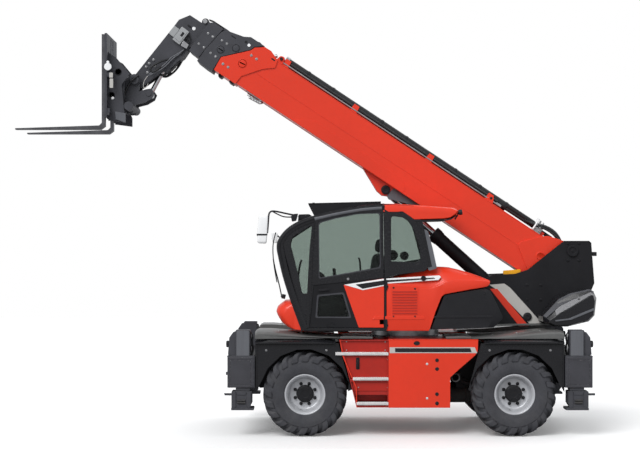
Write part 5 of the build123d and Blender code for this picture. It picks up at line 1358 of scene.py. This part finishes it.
def settle(obj):
    """Replaces an object's mesh by what its modifiers make of it."""
    graph = bpy.context.evaluated_depsgraph_get()
    graph.update()
    made = bpy.data.meshes.new_from_object(obj.evaluated_get(graph))
    obj.modifiers.clear()
    old = obj.data
    obj.data = made
    made.name = old.name + "_set"
    bpy.data.meshes.remove(old)


def cushion_rings(low, high, half, x0, x1, dish):
    """Rings across a seat cushion from right to left, dished in the middle, with raised side bolsters."""
    rings = []
    for t in (-1, -0.93, -0.78, -0.62, -0.56, -0.3, 0, 0.3, 0.56, 0.62, 0.78, 0.93, 1):
        y = SEAT_Y + half * t
        pinch = 30 if abs(t) == 1 else (10 if abs(t) == 0.93 else 0)
        groove = 14 if abs(t) in (0.62, 0.56) else 0
        middle = dish * (1 - (t / 0.7) ** 2) if abs(t) < 0.7 else 0
        top = high - pinch - groove - middle
        bottom = low + pinch * 0.6
        rings.append(outline([(x0 + pinch, bottom + 12), (x0 + 20 + pinch, bottom), (x1 - 60 - pinch, bottom),
            (x1 - 10 - pinch, bottom + 26), (x1 - pinch, (bottom + top) / 2), (x1 - 14 - pinch, top - 22),
            (x1 - 80, top), ((x0 + x1) / 2, top - 4), (x0 + 60, top), (x0 + 12 + pinch, top - 16),
            (x0 + pinch, (bottom + top) / 2)], y))
    return rings


base = pad_form("seat_cushion", cushion_rings(1792, 1896, 234, 430, 892, 14), "turret", "seat", 0.012)
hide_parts("cab_interior")
back_rings = []
for t in (-1, -0.93, -0.78, -0.62, -0.56, -0.3, 0, 0.3, 0.56, 0.62, 0.78, 0.93, 1):
    y = SEAT_Y + 210 * t
    pinch = 26 if abs(t) == 1 else (9 if abs(t) == 0.93 else 0)
    groove = 12 if abs(t) in (0.62, 0.56) else 0
    line = []
    for z, front, rear in ((1912, 520, 440), (1990, 522, 418), (2080, 500, 398), (2180, 486, 384),
            (2280, 470, 372), (2340, 452, 366), (2362, 430, 372)):
        line.append((z, front - pinch - groove, rear + pinch * 0.5))
    back_rings.append([at(front, y, z) for z, front, _ in line]
        + [at(rear, y, z) for z, _, rear in line[::-1]])
pad_form("seat_back", back_rings, "turret", "seat", 0.01)
head_rings = []
for t in (-1, -0.9, -0.6, 0, 0.6, 0.9, 1):
    y = SEAT_Y + 130 * t
    pinch = 26 if abs(t) == 1 else (8 if abs(t) == 0.9 else 0)
    head_rings.append(outline([(428 - pinch, 2390 + pinch), (432 - pinch, 2450), (420 - pinch, 2520),
        (404 - pinch, 2548 - pinch), (350 + pinch, 2546 - pinch), (338 + pinch, 2500), (346 + pinch, 2400),
        (366, 2384 + pinch)], y))
pad_form("head_rest", head_rings, "turret", "seat", 0.006)
piece("head_rest_posts", merged([rod(at(392, SEAT_Y + y, 2340), at(390, SEAT_Y + y, 2400), 0.007, 12)
    for y in (-60, 60)]), "turret", "steel")
for hand, side_name in SIDES:
    arm = []
    for t in (-1, -0.8, 0, 0.8, 1):
        pinch = 10 if abs(t) == 1 else 0
        arm.append(outline([(470, 2048 + pinch), (760, 2052 + pinch), (782 - pinch, 2072),
            (760, 2096 - pinch), (470, 2092 - pinch), (452 + pinch, 2070)], SEAT_Y + hand * 262 + 28 * t))
    pad_form(f"arm_rest_{side_name}", arm, "turret", "seat", 0.004)
    piece(f"arm_bracket_{side_name}", slab([(480, 2050), (620, 2050), (560, 1950), (520, 1900), (470, 1900)],
        SEAT_Y + hand * 250, SEAT_Y + hand * 262), "turret", "plastic", bevel=0.004)

bellows = []
for n in range(11):
    z = 1450 + n * 30
    grow = 0 if n % 2 else -16
    bellows.append([at(660 + (170 + grow) * sx, SEAT_Y + (160 + grow) * sy, z)
        for sx, sy in ((-1, -0.85), (-0.88, -1), (0.88, -1), (1, -0.85), (1, 0.85), (0.88, 1), (-0.88, 1),
        (-1, 0.85))])
piece("seat_bellows", stack(bellows), "turret", "rubber", smooth=60, bevel=0.003)
piece("seat_pan", merged([brick(440, 860, SEAT_Y - 215, SEAT_Y + 215, 1762, 1790),
    brick(470, 840, SEAT_Y - 190, SEAT_Y + 190, 1418, 1446)]), "turret", "plastic", bevel=0.006)
piece("seat_shell", stack([outline([(438, 1800), (420, 1900), (372, 2200), (344, 2360), (330, 2356),
    (356, 2200), (404, 1900), (420, 1796)], SEAT_Y + y) for y in (-200, 200)]), "turret", "plastic",
    bevel=0.006)
buckle = brick(508, 548, SEAT_Y - 252, SEAT_Y - 236, 1860, 1960)
piece("belt_buckle", buckle, "turret", "red_lens", bevel=0.005)

# steering column and wheel, console, levers, pedals, display
shroud = []
for x, z, w, d in ((1218, 1420, 62, 58), (1216, 1500, 44, 40), (1214, 1800, 42, 38), (1206, 1930, 74, 60),
                   (1180, 2010, 66, 48), (1158, 2052, 34, 30)):
    shroud.append([at(x + d * math.cos(a), SEAT_Y + w * math.sin(a), z)
        for a in (2 * math.pi * n / 24 for n in range(24))])
piece("steering_column", stack(shroud), "turret", "plastic", smooth=50)
tilt = math.radians(-35)
hub_at = at(1150, SEAT_Y, 2080)
across_wheel = Vector((0, 1, 0))
up_wheel = Vector((math.cos(tilt), 0, -math.sin(tilt)))
axis = across_wheel.cross(up_wheel)
RIM_R, GRIP_R = 0.176, 0.014           # the steering wheel's radius, and its rim's own
rim_points = []
for n in range(36):
    angle = 2 * math.pi * n / 36
    outward = across_wheel * math.cos(angle) + up_wheel * math.sin(angle)
    rim_points.append([hub_at + outward * (RIM_R + GRIP_R * math.cos(b)) + axis * GRIP_R * math.sin(b)
        for b in (2 * math.pi * k / 12 for k in range(12))])
bm = stack(rim_points + rim_points[:1], caps=False)
bmesh.ops.remove_doubles(bm, verts=bm.verts, dist=1e-6)
piece("steering_rim", bm, "turret", "plastic", smooth=60)
spokes = [rod(hub_at, hub_at + (across_wheel * math.cos(a) + up_wheel * math.sin(a)) * 0.168, 0.013, 14, 0.7)
          for a in (math.radians(d) for d in (20, 160, 270))]
spokes.append(rod(hub_at - axis * 0.03, hub_at + axis * 0.022, 0.046, 32))
spokes.append(rod(hub_at + across_wheel * 0.15 + up_wheel * 0.08, hub_at + across_wheel * 0.15
    + up_wheel * 0.08 + axis * 0.06, 0.018, 20))
piece("steering_spokes", merged(spokes), "turret", "plastic", bevel=0.004)
console = rounded([(600, 1782), (1000, 1782), (1010, 1900), (990, 1962), (620, 1958), (596, 1930)], 20)
piece("side_console", slab(console, IN + 78, SEAT_Y - 250), "turret", "trim", bevel=0.016, segments=4)
piece("console_panel", slab([(650, 1958), (960, 1960), (956, 1970), (654, 1968)], IN + 90, SEAT_Y - 262),
    "turret", "plastic", bevel=0.003)
knobs = []
for n in range(10):
    x, y = 680 + 28 * (n % 5), IN + 104 + 26 * (n // 5)
    knobs.append(brick(x, x + 18, y, y + 18, 1966, 1976))
piece("console_keys", merged(knobs), "turret", "tread", bevel=0.002)
stick = at(960, IN + 113, 1962)
piece("joystick_boot", stack([ring_points(stick + Vector((0, 0, h)), (0, 0, 1), r, 24)
    for h, r in ((0, 0.044), (0.012, 0.04), (0.02, 0.034), (0.028, 0.036), (0.036, 0.026), (0.044, 0.027),
    (0.052, 0.016))]), "turret", "rubber", smooth=50)
grip = []
for h, r, dx in ((0.05, 0.011, 0), (0.09, 0.013, 4), (0.1, 0.02, 5), (0.13, 0.023, 8), (0.16, 0.02, 10),
        (0.185, 0.024, 12), (0.2, 0.018, 14), (0.204, 0.008, 14)):
    grip.append([p + Vector((dx / 1000, 0, h)) for p in ring_points(stick, (0, 0, 1), r, 24)])
piece("joystick_grip", stack(grip), "turret", "plastic", smooth=60)
display = slab(rounded([(1228, 2180), (1262, 2176), (1290, 2330), (1256, 2336)], 6), SEAT_Y - 350,
    SEAT_Y - 170)
piece("display", display, "turret", "plastic", bevel=0.006)
piece("display_glass", slab([(1224, 2196), (1227, 2195), (1252, 2322), (1249, 2323)], SEAT_Y - 338,
    SEAT_Y - 182), "turret", "gloss_black", slot=None)
tube("display_arm", run(at, (1270, SEAT_Y - 260, 2200), (1300, SEAT_Y - 270, 2060),
    (1290, SEAT_Y - 290, 1900)), 0.014, "turret", "plastic")
piece("dash", stack([outline([(1330, 1430), (1452, 1430), (1520, 1700), (1490, 1760), (1420, 1740),
    (1350, 1600)], y) for y in (IN + 60, 620)]), "turret", "trim", bevel=0.02, segments=4)
pedals = []
for y in (-120, 90, 170):
    pedals.append(stack([outline([(1300, 1440), (1312, 1436), (1362, 1540), (1350, 1546)], SEAT_Y + y + dy)
        for dy in (-32, 32)]))
piece("pedals", merged(pedals), "turret", "plastic", bevel=0.006)
piece("floor_mat", slab(rect(360, 1370, 1412, 1420), IN + 60, OUT - 60), "turret", "rubber", bevel=0.004)
piece("rear_shelf", slab([(60, 2120), (300, 2085), (300, 2130), (250, 2200), (60, 2214)], IN + 60, OUT - 60),
    "turret", "trim", bevel=0.012, segments=3)
for n, (x, z, r) in enumerate(((186, 2340, 70), (30, 2332, 58))):
    ring = lathe([(-0.04, 0.0), (-0.04, r / 1000), (0.0, r / 1000), (0.008, (r - 8) / 1000),
        (0.002, (r - 22) / 1000), (-0.01, 0.02), (-0.004, 0.0)], at(x, IN + 96, z), (0, 1, 0), 36)
    piece(f"cab_speaker_{n}", ring, "turret", "plastic", smooth=40)
for n, (end_y, y, (top, upper, lower, low_end)) in enumerate((
        (OUT - 36, OUT - 66, [(1400, 2280), (1420, 2240), (1446, 2060), (1440, 2030)]),
        (IN + 40, IN + 80, [(640, 2300), (622, 2270), (618, 2060), (636, 2030)]))):
    tube(f"grab_rail_{n}", outline([top], end_y) + outline([upper, lower], y) + outline([low_end], end_y),
        0.013, "turret", "gloss_black", slot="black_plastic")
piece("document_pocket", slab(rounded(rect(262, 420, 2150, 2330), 10), IN + 56, IN + 84), "turret", "white",
    bevel=0.006, segments=3)
piece("roof_lining", slab([(1180, 2812), (700, 2924), (350, 2950), (60, 2920), (60, 2900), (350, 2928),
    (700, 2900), (1170, 2792)], IN + 60, OUT - 60), "turret", "trim", bevel=0.01)

# ---------------------------------------------------------------- turret

for hand, side_name in SIDES:
    y0, y1 = 318, 324
    grey_stripe = [(-1121, 1941), (-1322, 1957), (-1400, 1903), (-1825, 1431), (-1694, 1384), (-1214, 1879)]
    piece(f"plate_stripe_{side_name}", side_slab(grey_stripe, y0, y1, 1, hand), "turret", "pale", bevel=0.001,
          slot="black_paint")
    red_stripe = [(-1129, 1887), (-1229, 1887), (-1655, 1384), (-1523, 1384)]
    piece(f"plate_red_stripe_{side_name}", side_slab(red_stripe, y0 + 2, y1 + 3, 1, hand), "turret", "red",
        bevel=0.001)
    pivot = at(PIVOT[0], hand * 336, PIVOT[1])
    cap = [(0.0, 0.076), (0.01, 0.078), (0.016, 0.072), (0.016, 0.05), (0.008, 0.046), (0.008, 0.02),
        (0.014, 0.014), (0.014, 0.0)]
    piece(f"pivot_cap_{side_name}", lathe(cap, pivot, (0, hand, 0), 48), "turret", "black")
    foot_cap = at(LIFT_FOOT.x, hand * 334, LIFT_FOOT.y)
    piece(f"foot_pin_cap_{side_name}", lathe([(0.0, 0.058), (0.008, 0.058), (0.012, 0.052), (0.012, 0.02),
        (0.006, 0.016), (0.006, 0.0)], foot_cap, (0, hand, 0), 40), "turret", "plastic")
    piece(f"plate_bolts_{side_name}", bolts(outline([(-1629, 1938), (-1813, 1938), (-1629, 1740),
        (-1813, 1740), (-2180, 2270), (-2330, 2270), (-2180, 2500), (-2330, 2500)], hand * 320), (0, hand, 0),
        0.016, 0.01), "turret", "black")
    fold = [(-2131, 2533), (-2466, 2533), (-2496, 2506), (-2530, 1964), (-2520, 1964), (-2486, 2498),
        (-2462, 2522), (-2131, 2522)]
    piece(f"plate_fold_{side_name}", side_slab(fold, 276, 328, 1, hand), "turret", "gloss_black", bevel=0.003)
    bracket = rounded(rect(-2514, -2568, 2382, 2328), 8)
    piece(f"plate_bracket_{side_name}", side_slab(bracket, 284, 330, 1, hand), "turret", "black", bevel=0.004)
    deck_wedge = [(-460, 1388), (-1245, 1390), (-2000, 1392), (-2034, 1400), (-2019, 1420), (-1818, 1424),
                  (-1245, 1412), (-460, 1402)]
    piece(f"base_fold_{side_name}", side_slab(deck_wedge, 322, 345, 1, hand), "turret", "deck", bevel=0.003)
    for n, (x, y, z) in enumerate(((-2010, 360, 1470), (-2060, 380, 1440), (-2110, 350, 1450))):
        tube(f"base_hose_{n}_{side_name}", run(at, (x, hand * y, z - 40), (x + 10, hand * (y + 30), z + 30),
            (x - 60, hand * (y + 20), z + 60), (x - 120, hand * (y - 16), z + 10)), 0.012, "turret", "hose")
piece("yellow_plate", slab(rounded([(-1317, 2130), (-1550, 2148), (-1550, 2076), (-1317, 2076)], 10), 222,
    262), "turret", "orange", bevel=0.003, slot="red_paint")
stubs = [rod(at(x, hand * 140, z), at(x, hand * 280, z), radius, 32) for hand in (1, -1)
         for x, z, radius in ((-2140, 1620, 0.05), (-1500, 1420, 0.04))]
piece("cross_tube", merged(stubs), "turret", "black")
for n, (y, z) in enumerate(((-180, 1580), (-120, 1560), (-60, 1590), (60, 1570), (120, 1580), (180, 1560))):
    tube(f"turret_hose_{n}", run(at, (-2420, y, z), (-2300, y * 1.1, z + 120), (-2160, y, z + 90),
        (-2050, y * 0.9, z - 60), (-1900, y * 0.8, z - 190)), 0.016, "turret", "hose")

# rear covers: a sculpted cover on each side of the rear, one with the fuel filler
COVER = [
    # each corner of a cover's outline, and where it lies on the outer face: the top ones leave a facet
    ((-1770, 1536), (-1850, 1488)), ((-1912, 1690), (-1935, 1540)), ((-1975, 1762), (-1990, 1578)),
    ((-2125, 1838), (-2130, 1655)), ((-2381, 1890), (-2390, 1812)), ((-2441, 1858), (-2425, 1800)),
    ((-2478, 1780), (-2440, 1740)), ((-2452, 1551), (-2420, 1560)), ((-2376, 1470), (-2350, 1490)),
    ((-2095, 1402), (-2090, 1425)), ((-1930, 1404), (-1925, 1425)), ((-1779, 1462), (-1840, 1465)),
]
for hand, side_name in SIDES:
    rings = [[at(a[0] + (b[0] - a[0]) * share, hand * y, a[1] + (b[1] - a[1]) * share) for a, b in COVER]
             for y, share in ((322, 0.0), (806, 0.0), (893, 1.0))]
    cover = piece(f"rear_cover_{side_name}", stack(rings), "turret", "gloss_black", smooth=20, bevel=0.014,
        segments=4, slot="black_plastic")
    if hand > 0:
        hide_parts("rear_covers")
    for strip, paint_name, first, start, end in (("facet", "grey", 0, 0.04, 0.52),
            ("band", "facet", 1, 0.54, 0.98)):
        edge = [(a[0] + (b[0] - a[0]) * s, a[1] + (b[1] - a[1]) * s, 806 + 87 * s)
            for s, corners in ((start, COVER[first:6]), (end, COVER[5:first - 1 if first else None:-1]))
            for a, b in corners]
        rings = [[at(x, hand * (y + out), z + lift) for x, z, y in edge]
            for out, lift in ((-10, -10), (10, 10))]
        piece(f"cover_{strip}_{side_name}", stack(rings), "turret", paint_name, smooth=30,
            slot="black_plastic")
    swoosh = [(-1918, 1492), (-2103, 1516), (-2420, 1648), (-2440, 1640), (-2436, 1622), (-2129, 1496),
        (-1930, 1472)]
    piece(f"cover_swoosh_{side_name}", side_slab(swoosh, 884, 904, 1, hand), "turret", "column", bevel=0.004,
          slot="black_plastic")
    piece(f"cover_stud_{side_name}", bolts([at(-2228, hand * 896, 1784)], (0, hand, 0), 0.012, 0.008),
        "turret", "steel")
    piece(f"cover_bolts_{side_name}", bolts(outline([(-1960, 1500), (-2380, 1600), (-2300, 1480)],
        hand * 886), (0, hand, 0), 0.01, 0.006), "turret", "black", slot=None)
    lens = slab(rounded([(-2400, 1700), (-2440, 1700), (-2448, 1640), (-2408, 1640)], 6), hand * 600,
        hand * 760)
    piece(f"tail_lamp_{side_name}", lens, "turret", "red_lens", bevel=0.006)

# ---------------------------------------------------------------- engine side

FACE = -OUT
grille = rounded([(520, 1440), (1180, 1440), (1180, 1660), (520, 1700)], 20)
piece("side_grille_frame", slab(grille, FACE + 2, FACE - 6), "turret", "plastic", bevel=0.005)
bars = [brick(560 + 24 * n, 568 + 24 * n, FACE - 5, FACE - 11, 1462, 1650) for n in range(25)]
piece("side_grille_bars", merged(bars), "turret", "black", bevel=0.002, slot="black_plastic")
vent = ring_frame(rect(-580, 70, 1672, 1452), rect(-562, 52, 1652, 1468), FACE + 3, FACE - 8, 12)
piece("vent_frame", vent, "turret", "plastic", bevel=0.003)
piece("housing_stripe", slab([(1330, 1700), (-900, 1752), (-906, 1716), (1340, 1664)], FACE + 2, FACE - 3),
    "turret", "pale", bevel=0.001, slot="red_paint")
piece("housing_latches", merged([slab(rounded(rect(x, x + 60, 1730, 1706), 6), FACE + 1, FACE - 14)
    for x in (-700, 200, 1100)]), "turret", "plastic", bevel=0.003)
piece("housing_bolts", bolts([at(x, FACE, z) for x in (-860, -640, 160, 460, 1240) for z in (1420, 1690)],
    (0, -1, 0), 0.009), "turret", "black", slot=None)
piece("hood_seam", slab([(1300, 1832), (-560, 2008), (-560, 2012), (1300, 1836)], -620, -612), "hood",
    "plastic")
pipe_line = outline([(-300, 1985), (-300, 2080), (-330, 2130), (-400, 2150)], -720)
tube("engine_stack", pipe_line, 0.045, "hood", "casting", slot="casting")
piece("stack_collar", lathe([(-0.02, 0.047), (-0.02, 0.07), (0.0, 0.072), (0.012, 0.06), (0.012, 0.047)],
    at(-300, -720, 2008), (0, 0, 1), 32, closed=True), "hood", "casting", slot="casting")
block_parts = [rod(at(-500 + 140 * n, -760, 1640), at(-500 + 140 * n, -760, 1664), 0.05, 24)
    for n in range(6)]
piece("engine_covers", merged(block_parts), "turret", "casting", bevel=0.004)
for n in range(6):
    tube(f"engine_line_{n}", run(at, (-500 + 140 * n, -800, 1642), (-480 + 140 * n, -860, 1676),
        (-440 + 140 * n, -930, 1672), (-420 + 140 * n, -980, 1644)), 0.008, "turret", "steel", slot="steel")

# sides of the roof guard
for y0, y1, name in ((OUT - 104, OUT - 92, "left"), (IN + 92, IN + 104, "right")):
    cheek = [(1045, 2913), (1120, 2892), (1150, 3008), (380, 3026), (372, 3016), (668, 2990), (860, 2950)]
    piece(f"guard_side_{name}", slab(cheek, y0, y1), "turret", "black")

# ---------------------------------------------------------------- floor

floor = Graph("pale_floor")
path = floor.add("ShaderNodeLightPath")
tone = floor.mixed(path.outputs["Is Camera Ray"], (0.36, 0.36, 0.36), (0.97, 0.97, 0.97))
speck = floor.math("MULTIPLY", floor.noise(0.9, 4.0), 0.04)
floor.link(floor.mixed(speck, tone, (0.8, 0.8, 0.8)), floor.shader.inputs["Base Color"])
floor.shader.inputs["Roughness"].default_value = 0.8
floor.shader.inputs["Specular IOR Level"].default_value = 0.1
floor.shader.inputs["Emission Color"].default_value = (1, 1, 1, 1)
floor.link(floor.math("MULTIPLY", path.outputs["Is Camera Ray"], 0.09),
    floor.shader.inputs["Emission Strength"])
bpy.ops.mesh.primitive_plane_add(size=60, location=(0, 0, 0))
ground = bpy.context.object
ground.name = "floor"
ground.data.materials.append(floor.material)
